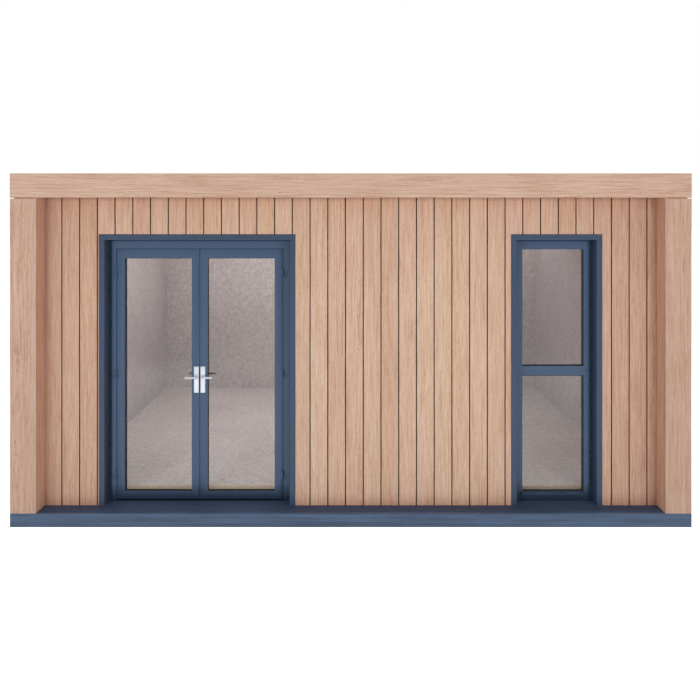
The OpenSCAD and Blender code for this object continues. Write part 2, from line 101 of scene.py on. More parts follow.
class Graph:
    """A material's node tree, with short calls that add nodes and join them."""

    def __init__(self, name: str) -> None:
        """Starts a material whose tree holds its output alone."""
        self.material = bpy.data.materials.new(name)
        self.material.use_nodes = True
        self.tree = self.material.node_tree
        self.tree.nodes.clear()
        self.output = self.tree.nodes.new("ShaderNodeOutputMaterial")

    def feed(self, socket: Socket, value: Feed) -> None:
        """Joins a socket to another one, or sets its own value."""
        if isinstance(value, bpy.types.NodeSocket):
            self.tree.links.new(value, socket)
        else:
            socket.default_value = value

    def add(self, kind: str, sockets: dict[str, Feed], **settings: Union[str, bool]) -> bpy.types.Node:
        """Adds a node.

        Args:
            kind: the node's type, without its prefix.
            sockets: values or other sockets for its inputs, by name.
            settings: the node's own properties.

        Returns:
            The node.
        """
        node = self.tree.nodes.new("ShaderNode" + kind)
        for key, value in settings.items():
            setattr(node, key, value)
        for key, value in sockets.items():
            self.feed(node.inputs[key], value)
        return node

    def math(self, operation: str, *values: Feed) -> Socket:
        """Adds a sum on numbers and gives its result."""
        node = self.add("Math", {}, operation=operation)
        for socket, value in zip(node.inputs, values):
            self.feed(socket, value)
        return node.outputs[0]

    def vector(self, operation: str, *values: Feed) -> Socket:
        """Adds a sum on vectors and gives its result."""
        node = self.add("VectorMath", {}, operation=operation)
        for socket, value in zip(node.inputs, values):
            self.feed(socket, value)
        return node.outputs[0]

    def noise(self, place: Socket, stretch: tuple, detail: float = 2.0, rough: float = 0.5) -> Socket:
        """Adds a noise.

        Args:
            place: the coordinates that it reads.
            stretch: how often it repeats in a metre, along each coordinate.
            detail: octaves.
            rough: how much the finer octaves count.

        Returns:
            The noise, from 0 to 1.
        """
        spot = self.vector("MULTIPLY", place, stretch)
        node = self.add("TexNoise", {"Vector": spot, "Scale": 1.0, "Detail": detail, "Roughness": rough})
        return node.outputs[0]

    def spread(self, value: Feed, low: float, high: float, to_low: float, to_high: float) -> Socket:
        """Carries a number from one range to another, and holds it there."""
        node = self.add("MapRange", {
            "Value": value, "From Min": low, "From Max": high, "To Min": to_low, "To Max": to_high,
        })
        return node.outputs[0]

    def ramp(self, value: Socket, stops: list[tuple[float, Tone]]) -> Socket:
        """Turns a number into a colour.

        Args:
            value: the number.
            stops: places from 0 to 1 with their screen tones.

        Returns:
            The colour.
        """
        node = self.add("ValToRGB", {"Fac": value})
        items = node.color_ramp.elements
        for index, (place, tone) in enumerate(stops):
            item = items[index] if index < 2 else items.new(place)
            item.position = place
            item.color = linear(tone)
        return node.outputs[0]

    def mix(self, share: Feed, first: Feed, second: Feed, blend: str = "MIX") -> Socket:
        """Mixes two colours and gives the result."""
        node = self.add("Mix", {}, data_type="RGBA", blend_type=blend)
        self.feed(node.inputs[0], share)
        self.feed(node.inputs[6], first)
        self.feed(node.inputs[7], second)
        return node.outputs[2]

    def place(self, grain: Grain) -> Socket:
        """Coordinates with the grain along the third: a board's own, or the pod's in another order."""
        if grain is Grain.BOARD:
            return self.add("Attribute", {}, attribute_name="grain").outputs["Vector"]
        spot = self.add("TexCoord", {}).outputs["Object"]
        parts = self.add("SeparateXYZ", {"Vector": spot})
        turned = self.add("CombineXYZ", {})
        for socket, axis in zip(turned.inputs, grain.value):
            self.feed(socket, parts.outputs[axis.upper()])
        return turned.outputs[0]

    def shade(self, colour: Socket, factor: Socket) -> Socket:
        """Multiplies a colour by a number."""
        result = self.vector("SCALE", colour)
        self.feed(result.node.inputs["Scale"], factor)
        return result

    def tint(self, colour: Socket) -> Socket:
        """Multiplies a colour by each board's own tint."""
        own = self.add("Attribute", {}, attribute_name="tint").outputs["Color"]
        return self.mix(1.0, colour, own, "MULTIPLY")

    def bump(self, height: Socket, strength: float, distance: float) -> Socket:
        """Turns a height into a normal."""
        node = self.add("Bump", {"Height": height, "Strength": strength, "Distance": distance})
        return node.outputs[0]

    def surface(self, sockets: dict[str, Feed]) -> Material:
        """Ends the tree in one principled shader and gives the material."""
        shader = self.add("BsdfPrincipled", sockets)
        self.tree.links.new(shader.outputs[0], self.output.inputs["Surface"])
        return self.material


@dataclass(frozen=True)
class TimberFinish:
    """Planed timber: growth rings cut by the face, streaks from broad to fine, and pores."""

    name: str
    dark: Tone
    middle: Tone
    light: Tone
    grain: Grain = Grain.BOARD
    ring_pitch: float = 0.0085
    roughness: float = 0.56
    relief: float = 0.22

    def material(self) -> Material:
        """Builds the node tree and gives the material."""
        graph = Graph(self.name)
        spot = graph.place(self.grain)
        drift = graph.vector("MULTIPLY", spot, (5.0, 5.0, 0.9))
        swirl = graph.add("TexNoise", {"Vector": drift, "Scale": 1.0, "Detail": 2.0}).outputs["Color"]
        lean = graph.vector("MULTIPLY_ADD", swirl, (0.045, 0.045, 0.0), (-0.0225, -0.0225, 0.0))
        bent = graph.vector("ADD", spot, lean)
        rings = graph.add("TexWave", {
            "Vector": bent, "Scale": 0.314 / self.ring_pitch, "Distortion": 2.2, "Detail": 3.0,
            "Detail Scale": 0.8, "Detail Roughness": 0.6,
        }, wave_type="RINGS", rings_direction="Z", wave_profile="SAW").outputs["Fac"]
        late = graph.spread(rings, 0.55, 1.0, 0.0, 1.0)
        broad = graph.noise(bent, (70.0, 70.0, 2.4), 4.0, 0.65)
        fine = graph.noise(spot, (300.0, 300.0, 9.0), 3.0, 0.65)
        fibre = graph.noise(bent, (150.0, 150.0, 4.5), 4.0, 0.7)
        cloud = graph.noise(spot, (5.0, 5.0, 1.6), 2.0)
        pores = graph.spread(graph.noise(spot, (420.0, 420.0, 30.0), 2.0), 0.57, 0.72, 0.0, 1.0)
        share = graph.math("MULTIPLY_ADD", late, -0.10, -0.07)
        share = graph.math("MULTIPLY_ADD", broad, 0.43, share)
        share = graph.math("MULTIPLY_ADD", fibre, 0.36, share)
        share = graph.math("MULTIPLY_ADD", fine, 0.25, share)
        share = graph.math("MULTIPLY_ADD", cloud, 0.10, share)
        share = graph.math("MULTIPLY_ADD", pores, -0.16, share)
        colour = graph.ramp(share, [(0.30, self.dark), (0.62, self.light), (0.46, self.middle)])
        if self.grain is Grain.BOARD:
            colour = graph.tint(colour)
        height = graph.math("MULTIPLY_ADD", pores, -0.6, graph.math("MULTIPLY_ADD", late, 0.25, fine))
        return graph.surface({
            "Base Color": colour,
            "Roughness": graph.spread(fine, 0.3, 0.7, self.roughness + 0.08, self.roughness - 0.06),
            "Normal": graph.bump(height, self.relief, 0.0012),
            "Specular IOR Level": 0.30,
        })


@dataclass(frozen=True)
class PaintFinish:
    """Satin paint, in which the grain or the coat below shows faintly.

    Near the ground it may carry painted shade: between two heights its tone is scaled down to a set share
    at the lower one.
    """

    name: str
    tone: Tone
    grain: Grain = Grain.BOARD
    roughness: float = 0.42
    streak: float = 0.10
    low_shade: float = 1.0
    gloss: float = 0.35
    low_shade_heights: Pair = (0.12, 0.27)

    def material(self) -> Material:
        """Builds the node tree and gives the material."""
        graph = Graph(self.name)
        spot = graph.place(self.grain)
        broad = graph.noise(spot, (38.0, 38.0, 1.4), 3.0, 0.55)
        fine = graph.noise(spot, (420.0, 420.0, 16.0), 2.0, 0.6)
        peel = graph.noise(spot, (260.0, 260.0, 260.0), 1.0)
        low, high = scaled(self.tone, 1 - self.streak), scaled(self.tone, 1 + self.streak)
        share = graph.math("MULTIPLY_ADD", fine, 0.4, graph.math("MULTIPLY", broad, 0.6))
        colour = graph.ramp(share, [(0.34, low), (0.66, high)])
        if self.grain is Grain.BOARD:
            colour = graph.tint(colour)
        # painted shade: darker near the ground
        if self.low_shade < 1.0:
            level = graph.add("SeparateXYZ", {"Vector": spot}).outputs["Z"]
            shade_level = graph.math("MULTIPLY_ADD", broad, 0.04, level)
            colour = graph.shade(colour, graph.spread(shade_level, *self.low_shade_heights, self.low_shade, 1.0))
        height = graph.math("MULTIPLY_ADD", peel, 0.35, fine)
        return graph.surface({
            "Base Color": colour,
            "Roughness": graph.spread(broad, 0.3, 0.7, self.roughness - 0.05, self.roughness + 0.07),
            "Normal": graph.bump(height, 0.10, 0.0006),
            "Specular IOR Level": self.gloss,
        })


@dataclass(frozen=True)
class PlasterFinish:
    """A room lining with a stippled face: clouds, a fine speckle and scattered dark flecks.

    Its tone is scaled by painted shade and light, from the first share at the floor to the second at the
    ceiling.
    """

    name: str
    tone: Tone
    fleck: Tone
    fleck_share: float = 0.5
    height_shading: Pair = (1.0, 1.0)
    shading_heights: Pair = (0.2, 2.3)
    speckle_range: Pair = (0.88, 1.09)

    def material(self) -> Material:
        """Builds the node tree and gives the material."""
        graph = Graph(self.name)
        spot = graph.place(Grain.Z)
        speckle = graph.noise(spot, (30.0, 30.0, 30.0), 3.0, 0.65)
        cloud = graph.noise(spot, (1.6, 1.6, 1.6), 2.0)
        cells = graph.add("TexVoronoi", {
            "Vector": graph.vector("MULTIPLY", spot, (12.0, 12.0, 12.0)), "Scale": 1.0,
        })
        near = graph.spread(cells.outputs["Distance"], 0.07, 0.17, self.fleck_share, 0.0)
        low, high = (scaled(self.tone, factor) for factor in self.speckle_range)
        share = graph.math("MULTIPLY_ADD", cloud, 0.25, graph.math("MULTIPLY", speckle, 0.75))
        colour = graph.ramp(share, [(0.34, low), (0.66, high)])
        colour = graph.mix(near, colour, linear(self.fleck))
        level = graph.add("SeparateXYZ", {"Vector": spot}).outputs["Z"]
        colour = graph.shade(colour, graph.spread(level, *self.shading_heights, *self.height_shading))
        return graph.surface({
            "Base Color": colour,
            "Roughness": graph.spread(speckle, 0.3, 0.7, 0.75, 0.9),
            "Normal": graph.bump(speckle, 0.15, 0.0015),
        })


@dataclass(frozen=True)
class MembraneFinish:
    """Rubber roof membrane: dull black with a bloom of dust that gathers in slow patches."""

    name: str
    tone: Tone
    dust: Tone

    def material(self) -> Material:
        """Builds the node tree and gives the material."""
        graph = Graph(self.name)
        spot = graph.place(Grain.Z)
        patch = graph.noise(spot, (1.4, 2.2, 1.0), 5.0, 0.6)
        grit = graph.noise(spot, (240.0, 240.0, 240.0), 2.0)
        share = graph.math("MULTIPLY_ADD", grit, 0.35, graph.math("MULTIPLY", patch, 0.65))
        return graph.surface({
            "Base Color": graph.ramp(share, [(0.35, self.tone), (0.70, self.dust)]),
            "Roughness": graph.spread(share, 0.3, 0.7, 0.55, 0.8),
            "Normal": graph.bump(grit, 0.15, 0.0008),
        })


@dataclass(frozen=True)
class MetalFinish:
    """Satin metal with a fine brushed grain along one axis."""

    name: str
    tone: Tone
    roughness: float = 0.30
    grain: Grain = Grain.Z
    metallic: float = 1.0

    def material(self) -> Material:
        """Builds the node tree and gives the material."""
        graph = Graph(self.name)
        spot = graph.place(self.grain)
        brushed = graph.noise(spot, (2600.0, 2600.0, 60.0), 2.0)
        return graph.surface({
            "Base Color": graph.ramp(brushed, [(0.3, scaled(self.tone, 0.94)), (0.7, self.tone)]),
            "Metallic": self.metallic,
            "Roughness": graph.spread(brushed, 0.3, 0.7, self.roughness + 0.06, self.roughness - 0.04),
            "Normal": graph.bump(brushed, 0.05, 0.0002),
        })


@dataclass(frozen=True)
class RubberFinish:
    """Black glazing gasket, or a dark bead of sealant that also carries painted shade, matt and faintly
    dusty.
    """

    name: str
    tone: Tone
    dust: Tone
    gloss: float = 0.5

    def material(self) -> Material:
        """Builds the node tree and gives the material."""
        graph = Graph(self.name)
        spot = graph.place(Grain.Z)
        dust = graph.noise(spot, (60.0, 60.0, 60.0), 3.0)
        return graph.surface({
            "Base Color": graph.ramp(dust, [(0.35, self.tone), (0.75, self.dust)]),
            "Roughness": graph.spread(dust, 0.3, 0.7, 0.55, 0.75),
            "Specular IOR Level": self.gloss,
        })


@dataclass(frozen=True)
class GlassFinish:
    """Clear float glass: see-through, with a reflection that grows with the fifth power of the slant."""

    name: str
    tint: Four = (0.965, 0.975, 0.970, 1.0)
    gloss: float = 0.45
    head_on: float = 0.036

    def material(self) -> Material:
        """Builds the node tree and gives the material."""
        graph = Graph(self.name)
        slant = graph.add("LayerWeight", {"Blend": 0.5}).outputs["Facing"]
        steep = graph.math("POWER", slant, 5.0)
        share = graph.math("MULTIPLY_ADD", steep, self.gloss, self.head_on * self.gloss)
        clear = graph.add("BsdfTransparent", {"Color": self.tint}).outputs[0]
        shine = graph.add("BsdfGlossy", {"Color": (1.0, 1.0, 1.0, 1.0), "Roughness": 0.02}).outputs[0]
        both = graph.add("MixShader", {"Fac": share})
        graph.feed(both.inputs[1], clear)
        graph.feed(both.inputs[2], shine)
        graph.tree.links.new(both.outputs[0], graph.output.inputs["Surface"])
        return graph.material


@dataclass
class Finishes:
    """Every finish on the pod, each made into a material once."""

    cladding: Material = field(init=False)
    gap: Material = field(init=False)
    sawn: dict[Grain, Material] = field(init=False)
    sill: Material = field(init=False)
    skirt_paint: Material = field(init=False)
    ledge_paint: Material = field(init=False)
    lining_paint: Material = field(init=False)
    frame_paint: Material = field(init=False)
    plaster: Material = field(init=False)
    back_plaster: Material = field(init=False)
    floor: Material = field(init=False)
    membrane: Material = field(init=False)
    handle: Material = field(init=False)
    inner_handle_reflection: Material = field(init=False)
    threshold: Material = field(init=False)
    gasket: Material = field(init=False)
    sealant_shade: Material = field(init=False)
    glass: Material = field(init=False)

    def __post_init__(self) -> None:
        """Makes the materials."""
        self.cladding = TimberFinish(
            "cladding", (186, 140, 114), (214, 178, 153), (231, 200, 176)).material()
        # The tongues get a dark timber tone: painted shade at the back of the shadow gaps.
        self.gap = TimberFinish("gap", (46, 35, 26), (58, 45, 34), (70, 55, 42)).material()
        self.sawn = {
            grain: TimberFinish(
                "sawn_" + grain.name, (150, 118, 84), (182, 150, 112), (205, 176, 138), grain,
                0.006, 0.75, 0.5,
            ).material()
            for grain in (Grain.X, Grain.Y, Grain.Z)
        }
        self.sill = TimberFinish("sill", (160, 134, 112), (186, 162, 140), (202, 180, 158)).material()
        self.skirt_paint = PaintFinish("skirt_paint", (69, 87, 112), streak=0.23).material()
        self.ledge_paint = PaintFinish("ledge_paint", (65, 78, 100), roughness=0.5, gloss=0.10).material()
        self.lining_paint = PaintFinish("lining_paint", (60, 74, 97)).material()
        # The frame paint carries painted shade near the ground, darker towards the foot of the frames and
        # leaves.
        self.frame_paint = PaintFinish("frame_paint", (66, 87, 115), Grain.Z, 0.34, 0.03, 0.26).material()
        fleck = (136, 122, 118)
        # Painted shade and light: the walls darken towards the floor, and the back wall is also brighter
        # near the ceiling.
        self.plaster = PlasterFinish("plaster", (197, 182, 182), fleck, height_shading=(0.71, 1.06)).material()
        self.back_plaster = PlasterFinish(
            "back_plaster", (197, 183, 182), fleck, height_shading=(0.89, 1.23)).material()
        self.floor = PlasterFinish("floor", (190, 175, 173), (140, 120, 106), 0.55).material()
        self.membrane = MembraneFinish("membrane", (34, 36, 39), (74, 75, 76)).material()
        self.handle = MetalFinish("handle_metal", (222, 228, 238), 0.30, metallic=0.3).material()
        # Painted reflection and shade: the inner levers are the same metal as the outer ones, toned brown
        # for the dim room that they mirror.
        self.inner_handle_reflection = MetalFinish("inner_handle_metal", (150, 128, 104), 0.34).material()
        self.threshold = MetalFinish("threshold_metal", (66, 76, 93), 0.45, Grain.X).material()
        self.gasket = RubberFinish("gasket", (24, 26, 29), (52, 54, 57)).material()
        # Painted shade: the sealant is toned dark blue-grey and laid wide, so that it stands for the shade
        # in the corner between frame and lining.
        self.sealant_shade = RubberFinish("sealant_shade", (33, 45, 62), (56, 68, 86), 0.05).material()
        self.glass = GlassFinish("glass").material()


# Surfaces


def quarter(count: int) -> Array:
    """Angles of a quarter turn, from 0 to a right angle."""
    return np.linspace(0.0, math.pi / 2, count)


def grid_cells(index: Array) -> Array:
    """Faces of a grid, by point number."""
    return np.stack([index[:-1, :-1], index[1:, :-1], index[1:, 1:], index[:-1, 1:]], -1).reshape(-1, 4)


@dataclass(frozen=True)
class Lay:
    """The way that a surface lies: unit axes across it, along it and inwards, from one point."""

    across: Triple
    along: Triple
    inward: Triple
    origin: Triple = (0.0, 0.0, 0.0)

    def put(self, across: Array, along: Array, inward: Array) -> Array:
        """Points of the pod: origin + across * A + along * L + inward * D."""
        parts = np.stack(np.broadcast_arrays(across, along, inward), axis=-1)
        return parts @ np.array([self.across, self.along, self.inward]) + np.array(self.origin)

    def behind(self, depth: float) -> "Lay":
        """The same axes from a point farther in."""
        x, y, z = (start + depth * step for start, step in zip(self.origin, self.inward))
        return replace(self, origin=(x, y, z))


class Shell:
    """Gathers the closed surfaces of one piece, with each board's grain and tint."""

    def __init__(self, seed: int = 1) -> None:
        """Starts an empty piece.

        Args:
            seed: the start of the numbers that tell one board from the next.
        """
        self.chance = np.random.default_rng(seed)
        self.points: list[Array] = []
        self.faces: list[Array] = []
        self.grain: list[Array] = []
        self.tint: list[Array] = []
        self.count = 0

    @staticmethod
    def volume(points: Array, faces: list[Array]) -> float:
        """Signed volume: over the fan of triangles of each face, the sum of a x b . c, by six."""
        total = 0.0
        for group in faces:
            spots = points[group]
            first = np.repeat(spots[:, :1], group.shape[1] - 2, axis=1)
            total += float(np.sum(np.cross(first, spots[:, 1:-1]) * spots[:, 2:]))
        return total / 6.0

    def take(self, points: Array, faces: list[Array], grain: Array, tint: Array) -> None:
        """Adds closed surfaces and turns them outwards.

        Args:
            points: places, one row each.
            faces: tables of point numbers, one table for each number of corners.
            grain: the place of each point in its board.
            tint: the colour of each point's board, to multiply by.
        """
        turned = faces if self.volume(points, faces) > 0 else [group[:, ::-1] for group in faces]
        self.points.append(points)
        self.faces.extend(group + self.count for group in turned)
        self.grain.append(grain)
        self.tint.append(tint)
        self.count += len(points)

    def stacks(self, rings: Array, grain: MaybeArray = None, tint: MaybeArray = None) -> None:
        """Adds stacks of rings: sides join each ring to the next, and a flat cap closes each end.

        Args:
            rings: points, as (stack, ring, point, 3).
            grain: the place of each point in its board, in the same shape.
            tint: a colour for each stack, as (stack, 3), or for each point, in the shape of the rings.
        """
        number, levels, corners, _ = rings.shape
        index = np.arange(number * levels * corners).reshape(number, levels, corners)
        ahead = np.roll(index, -1, axis=2)
        sides = np.stack([index[:, :-1], ahead[:, :-1], ahead[:, 1:], index[:, 1:]], axis=-1)
        caps = np.concatenate([index[:, 0, ::-1], index[:, -1]])
        points = rings.reshape(-1, 3)
        place = points if grain is None else grain.reshape(-1, 3)
        shade = np.ones((number, 3)) if tint is None else tint
        shade = shade.reshape(-1, 3) if shade.ndim == 4 else np.repeat(shade, levels * corners, axis=0)
        self.take(points, [sides.reshape(-1, 4), caps], place, shade)

    def loop(self, rings: Array) -> None:
        """Adds rings that close on themselves: the last ring joins the first.

        Args:
            rings: points, as (ring, point, 3).
        """
        levels, corners, _ = rings.shape
        index = np.arange(levels * corners).reshape(levels, corners)
        ahead, above = np.roll(index, -1, axis=1), np.roll(index, -1, axis=0)
        sides = np.stack([index, ahead, np.roll(ahead, -1, axis=0), above], axis=-1).reshape(-1, 4)
        points = rings.reshape(-1, 3)
        self.take(points, [sides], points, np.ones((len(points), 3)))

    def piece(
        self, name: str, body: str, slot: str, material: Material, nodes: tuple[str, ...] = (),
        smooth: float = 38.0,
    ) -> bpy.types.Object:
        """Makes the gathered surfaces one piece.

        Args:
            name: the piece's name.
            body: the CAD body that it rides on.
            slot: the record's material slot; not used.
            material: its finish.
            nodes: the CAD nodes that it stands for.
            smooth: edges sharper than this many degrees stay crisp.

        Returns:
            The object, at the origin.
        """
        mesh = bpy.data.meshes.new(name)
        faces = [row for group in self.faces for row in group.tolist()]
        mesh.from_pydata(np.concatenate(self.points).tolist(), [], faces)
        tint = np.pad(np.concatenate(self.tint), ((0, 0), (0, 1)), constant_values=1.0)
        for key, kind, data, word in (
            ("grain", "FLOAT_VECTOR", np.concatenate(self.grain), "vector"),
            ("tint", "FLOAT_COLOR", tint, "color"),
        ):
            values = mesh.attributes.new(key, kind, "POINT").data
            values.foreach_set(word, data.astype(np.float32).ravel())
        mesh.shade_smooth()
        mesh.set_sharp_from_angle(angle=math.radians(smooth))
        mesh.materials.append(material)
        item = bpy.data.objects.new(name, mesh)
        bpy.context.scene.collection.objects.link(item)
        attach(item, body)
        if nodes:
            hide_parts(*nodes)
        log.info("%s: %d faces, on %s, for %s", name, len(faces), body, ", ".join(nodes) or "itself")
        return item


def dress(material: Material, *nodes: str) -> None:
    """Gives CAD nodes a finish and leaves their meshes alone.

    Args:
        material: the finish.
        nodes: the nodes' names.
    """
    for name in nodes:
        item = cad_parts[name]
        if not item.material_slots:
            item.data.materials.append(material)
        for slot in item.material_slots:
            slot.material = material
        log.info("%s: CAD node in %s", name, material.name)


@dataclass
class BoardRow:
    """Boards that lie side by side in one plane, with quarter-round front edges and eased ends.

    Between its ends a board has a ring of points at each share of its length in rows. It is cut from
    its log at a chance place between log_from and log_to, which sets its grain.
    """

    lay: Lay
    thick: float
    ease: float = 0.0025
    end_ease: float = 0.0012
    tint_spread: Triple = (0.018, 0.030, 0.038)
    tint_base: Triple = (1.0, 1.0, 1.0)
    edge_shade: float = 1.0
    edge_from: float = 0.0012
    rows: tuple[float, ...] = (0.33, 0.67)
    own_share: float = 0.35
    tint_range: Pair = (0.2, 1.25)
    log_from: Triple = (-0.15, 0.03, 0.0)
    log_to: Triple = (0.15, 0.20, 60.0)

    def section(self, across: Array, ease: Array) -> tuple[Array, Array]:
        """Each board's outline: a rectangle whose two front corners are quarter circles.

        A point close behind each quarter circle marks where the painted shade of the board's side begins.

        Args:
            across: the two edges of each board.
            ease: the radius at each edge.

        Returns:
            Places across the boards and depths behind their faces, one row for each board.
        """
        turn = quarter(4)
        low, high = across[:, :1], across[:, 1:]
        shares = np.array([0.2, 0.4, 0.6, 0.8])
        side = np.concatenate([
            low + ease[:, :1] * (1 - np.cos(turn)),
            low + (high - low) * shares,
            high - ease[:, 1:] * (1 - np.cos(turn[::-1])),
            high, high, low, low,
        ], axis=1)
        depth = np.concatenate([
            ease[:, :1] * (1 - np.sin(turn)),
            np.zeros((len(across), len(shares))),
            ease[:, 1:] * (1 - np.sin(turn[::-1])),
            ease[:, 1:] + self.edge_from, np.full((len(across), 2), self.thick),
            ease[:, :1] + self.edge_from,
        ], axis=1)
        return side, depth

    def build(
        self, shell: Shell, across: Array, along: Array, ease: MaybeArray = None,
        board: MaybeArray = None, lift: float = 0.0,
        weather: Union[Callable[[Array, Array], Array], None] = None,
    ) -> None:
        """Adds the boards to a piece: each section is carried along its board, drawn in at both ends.

        Args:
            shell: the piece.
            across: the two edges of each board.
            along: the two ends of each board.
            ease: the radius at each edge, if not the row's own.
            board: the number of the board that each strip belongs to, so that its strips match.
            lift: how far single boards may stand behind the others.
            weather: gives the factor of the colour at places across and along the boards.
        """
        across, along = np.atleast_2d(across).astype(float), np.atleast_2d(along).astype(float)
        count = len(across)
        ease = np.full((count, 2), self.ease) if ease is None else ease
        board = np.arange(count) if board is None else board
        side, depth = self.section(across, ease)
        plain = np.zeros(len(self.rows))
        drawn = np.array([self.end_ease, 0.0, *plain, 0.0, self.end_ease])
        share = np.array([0.0, 0.0, *self.rows, 1.0, 1.0])
        inset = np.array([0.0, self.end_ease, *plain, -self.end_ease, 0.0])
        length = along[:, :1] + (along[:, 1:] - along[:, :1]) * share + inset
        middle = across.mean(axis=1)[:, None, None]
        half = ((across[:, 1] - across[:, 0]) / 2)[:, None, None]
        pull = drawn[None, :, None]
        wide = middle + (side[:, None, :] - middle) * (1 - pull / half)
        deep = pull + depth[:, None, :] * (1 - pull / self.thick)
        number = int(board.max()) + 1
        set_back = shell.chance.uniform(0.0, 1.0, number)[board] * lift
        deep = deep + set_back[:, None, None] * (1 - depth[:, None, :] / self.thick)
        high = np.broadcast_to(length[:, :, None], wide.shape)
        rings = self.lay.put(wide, high, deep)
        shift = shell.chance.uniform(self.log_from, self.log_to, (number, 3))[board]
        shift[:, 0] -= across.mean(axis=1) if len(set(board.tolist())) == count else 0.0
        grain = np.stack([wide, deep, high], axis=-1) + shift[:, None, None, :]
        common = shell.chance.normal(0.0, 1.0, (number, 1))
        own = shell.chance.normal(0.0, self.own_share, (number, 3))
        tint = np.array(self.tint_base) * (1 + (common + own) * np.array(self.tint_spread))
        # the last four points, on the board's sides, take the row's edge factor: painted shade on the
        # sides in the shadow gaps
        edge = np.ones(rings.shape[2])
        edge[-4:] = self.edge_shade
        shade = np.clip(tint, *self.tint_range)[board][:, None, None, :] * edge[:, None]
        shade = shade if weather is None else shade * weather(wide, high)
        shell.stacks(rings, grain, np.broadcast_to(shade, rings.shape))


def mitred(
    low: Pair, high: Pair, widths: Four,
    reach: Array, offset: Array, depth: Array,
) -> Array:
    """Carries a section round a rectangle, mitred at the corners.

    A point stands out from the corner by reach * width + offset, along both axes at once.

    Args:
        low: X and Z of the rectangle's lower left corner.
        high: X and Z of its upper right corner.
        widths: face widths of the left, right, bottom and top members.
        reach: for each point of the section, 0 at the inner edge and 1 at the outer edge.
        offset: how far each point stands outwards of that edge.
        depth: Y of each point.

    Returns:
        Points, as (corner, point, 3).
    """
    left, right, bottom, top = widths
    side = np.array([-1.0, 1.0, 1.0, -1.0])[:, None]
    rise = np.array([-1.0, -1.0, 1.0, 1.0])[:, None]
    x = np.array([low[0], high[0], high[0], low[0]])[:, None]
    z = np.array([low[1], low[1], high[1], high[1]])[:, None]
    wide = np.array([left, right, right, left])[:, None]
    tall = np.array([bottom, bottom, top, top])[:, None]
    across = x + side * (reach * wide + offset)
    up = z + rise * (reach * tall + offset)
    return np.stack(np.broadcast_arrays(across, depth[None, :], up), axis=-1)


def arched(
    low: Pair, high: Pair, widths: Triple,
    reach: Array, offset: Array, depth: Array,
) -> Array:
    """Carries a section up one jamb, along the head and down the other jamb, mitred at the head.

    Args:
        low: X and Z of the foot of the left jamb's inner edge.
        high: X and Z of the right upper inner corner.
        widths: face widths of the left jamb, the right jamb and the head.
        reach: for each point of the section, 0 at the inner edge and 1 at the outer edge.
        offset: how far each point stands outwards of that edge.
        depth: Y of each point.

    Returns:
        Points, as (stop on the path, point, 3).
    """
    left, right, top = widths
    side = np.array([-1.0, -1.0, 1.0, 1.0])[:, None]
    x = np.array([low[0], low[0], high[0], high[0]])[:, None]
    wide = np.array([left, left, right, right])[:, None]
    across = x + side * (reach * wide + offset)
    head = high[1] + reach * top + offset
    foot = np.full_like(head, low[1])
    up = np.stack([foot, head, head, foot])
    return np.stack(np.broadcast_arrays(across, depth[None, :], up), axis=-1)


def turned(lay: Lay, radius: Array, height: Array, sides: int = 28) -> Array:
    """Turns a profile round an axis: radius * (cos, sin) of the angle, at each height.

    Args:
        lay: the axis runs along it, from its origin.
        radius: the radius at each level.
        height: the place of each level on the axis.
        sides: points in a ring.

    Returns:
        Points, as (level, point, 3).
    """
    angle = np.linspace(0.0, 2 * math.pi, sides, endpoint=False)
    return lay.put(radius[:, None] * np.cos(angle), height[:, None], radius[:, None] * np.sin(angle))


def screw_head(
    shell: Shell, at: Triple, way: float, size: Pair, steps: int, sides: int,
) -> None:
    """Adds the dome of a screw: width * cos and height * sin of an angle that stops short of the pole.

    Args:
        shell: the piece.
        at: the middle of its foot.
        way: -1 for a head that looks to the front, 1 for one that looks to the back.
        size: the radius of its foot and its height.
        steps: rings.
        sides: points in a ring.
    """
    dome = np.linspace(0.0, math.pi / 2 - 0.12, steps)
    lay = Lay(X, (0, way, 0), Z, at)
    shell.stacks(turned(lay, size[0] * np.cos(dome), size[1] * np.sin(dome), sides)[None])


def rounded_outline(half: Pair, radius: float, steps: int = 6) -> Array:
    """Points round a rectangle with quarter-circle corners, centred on nothing.

    Args:
        half: half its width and half its height.
        radius: the radius of its corners.
        steps: points on each quarter circle.

    Returns:
        Points, as (point, 2), anticlockwise.
    """
    turn = quarter(steps)
    angle = (turn[None, :] + np.arange(4)[:, None] * math.pi / 2).ravel()
    sign = np.array([[1, 1], [-1, 1], [-1, -1], [1, -1]]).repeat(steps, axis=0)
    corner = sign * (np.array(half) - radius)
    return corner + radius * np.stack([np.cos(angle), np.sin(angle)], axis=-1)


def padded_slab(lay: Lay, half: Pair, thick: float, corner: float, ease: float) -> Array:
    """Carries a rounded rectangle out from a face, and draws it in over a quarter circle at the end.

    Args:
        lay: its middle at the origin, with inward pointing out of the face that it stands on.
        half: half its width and half its height.
        thick: how far it stands out.
        corner: the radius of its corners.
        ease: the radius of its front edge.

    Returns:
        Points, as (level, point, 3).
    """
    turn = quarter(5)
    drawn = np.concatenate([[0.0], ease * (1 - np.cos(turn))])
    level = np.concatenate([[0.0], thick - ease * (1 - np.sin(turn))])
    outline = rounded_outline(half, corner)
    pull = 1 - drawn[:, None, None] / np.array(half)
    flat = outline[None] * pull
    return lay.put(flat[..., 0], flat[..., 1], level[:, None])


# Sub-assemblies


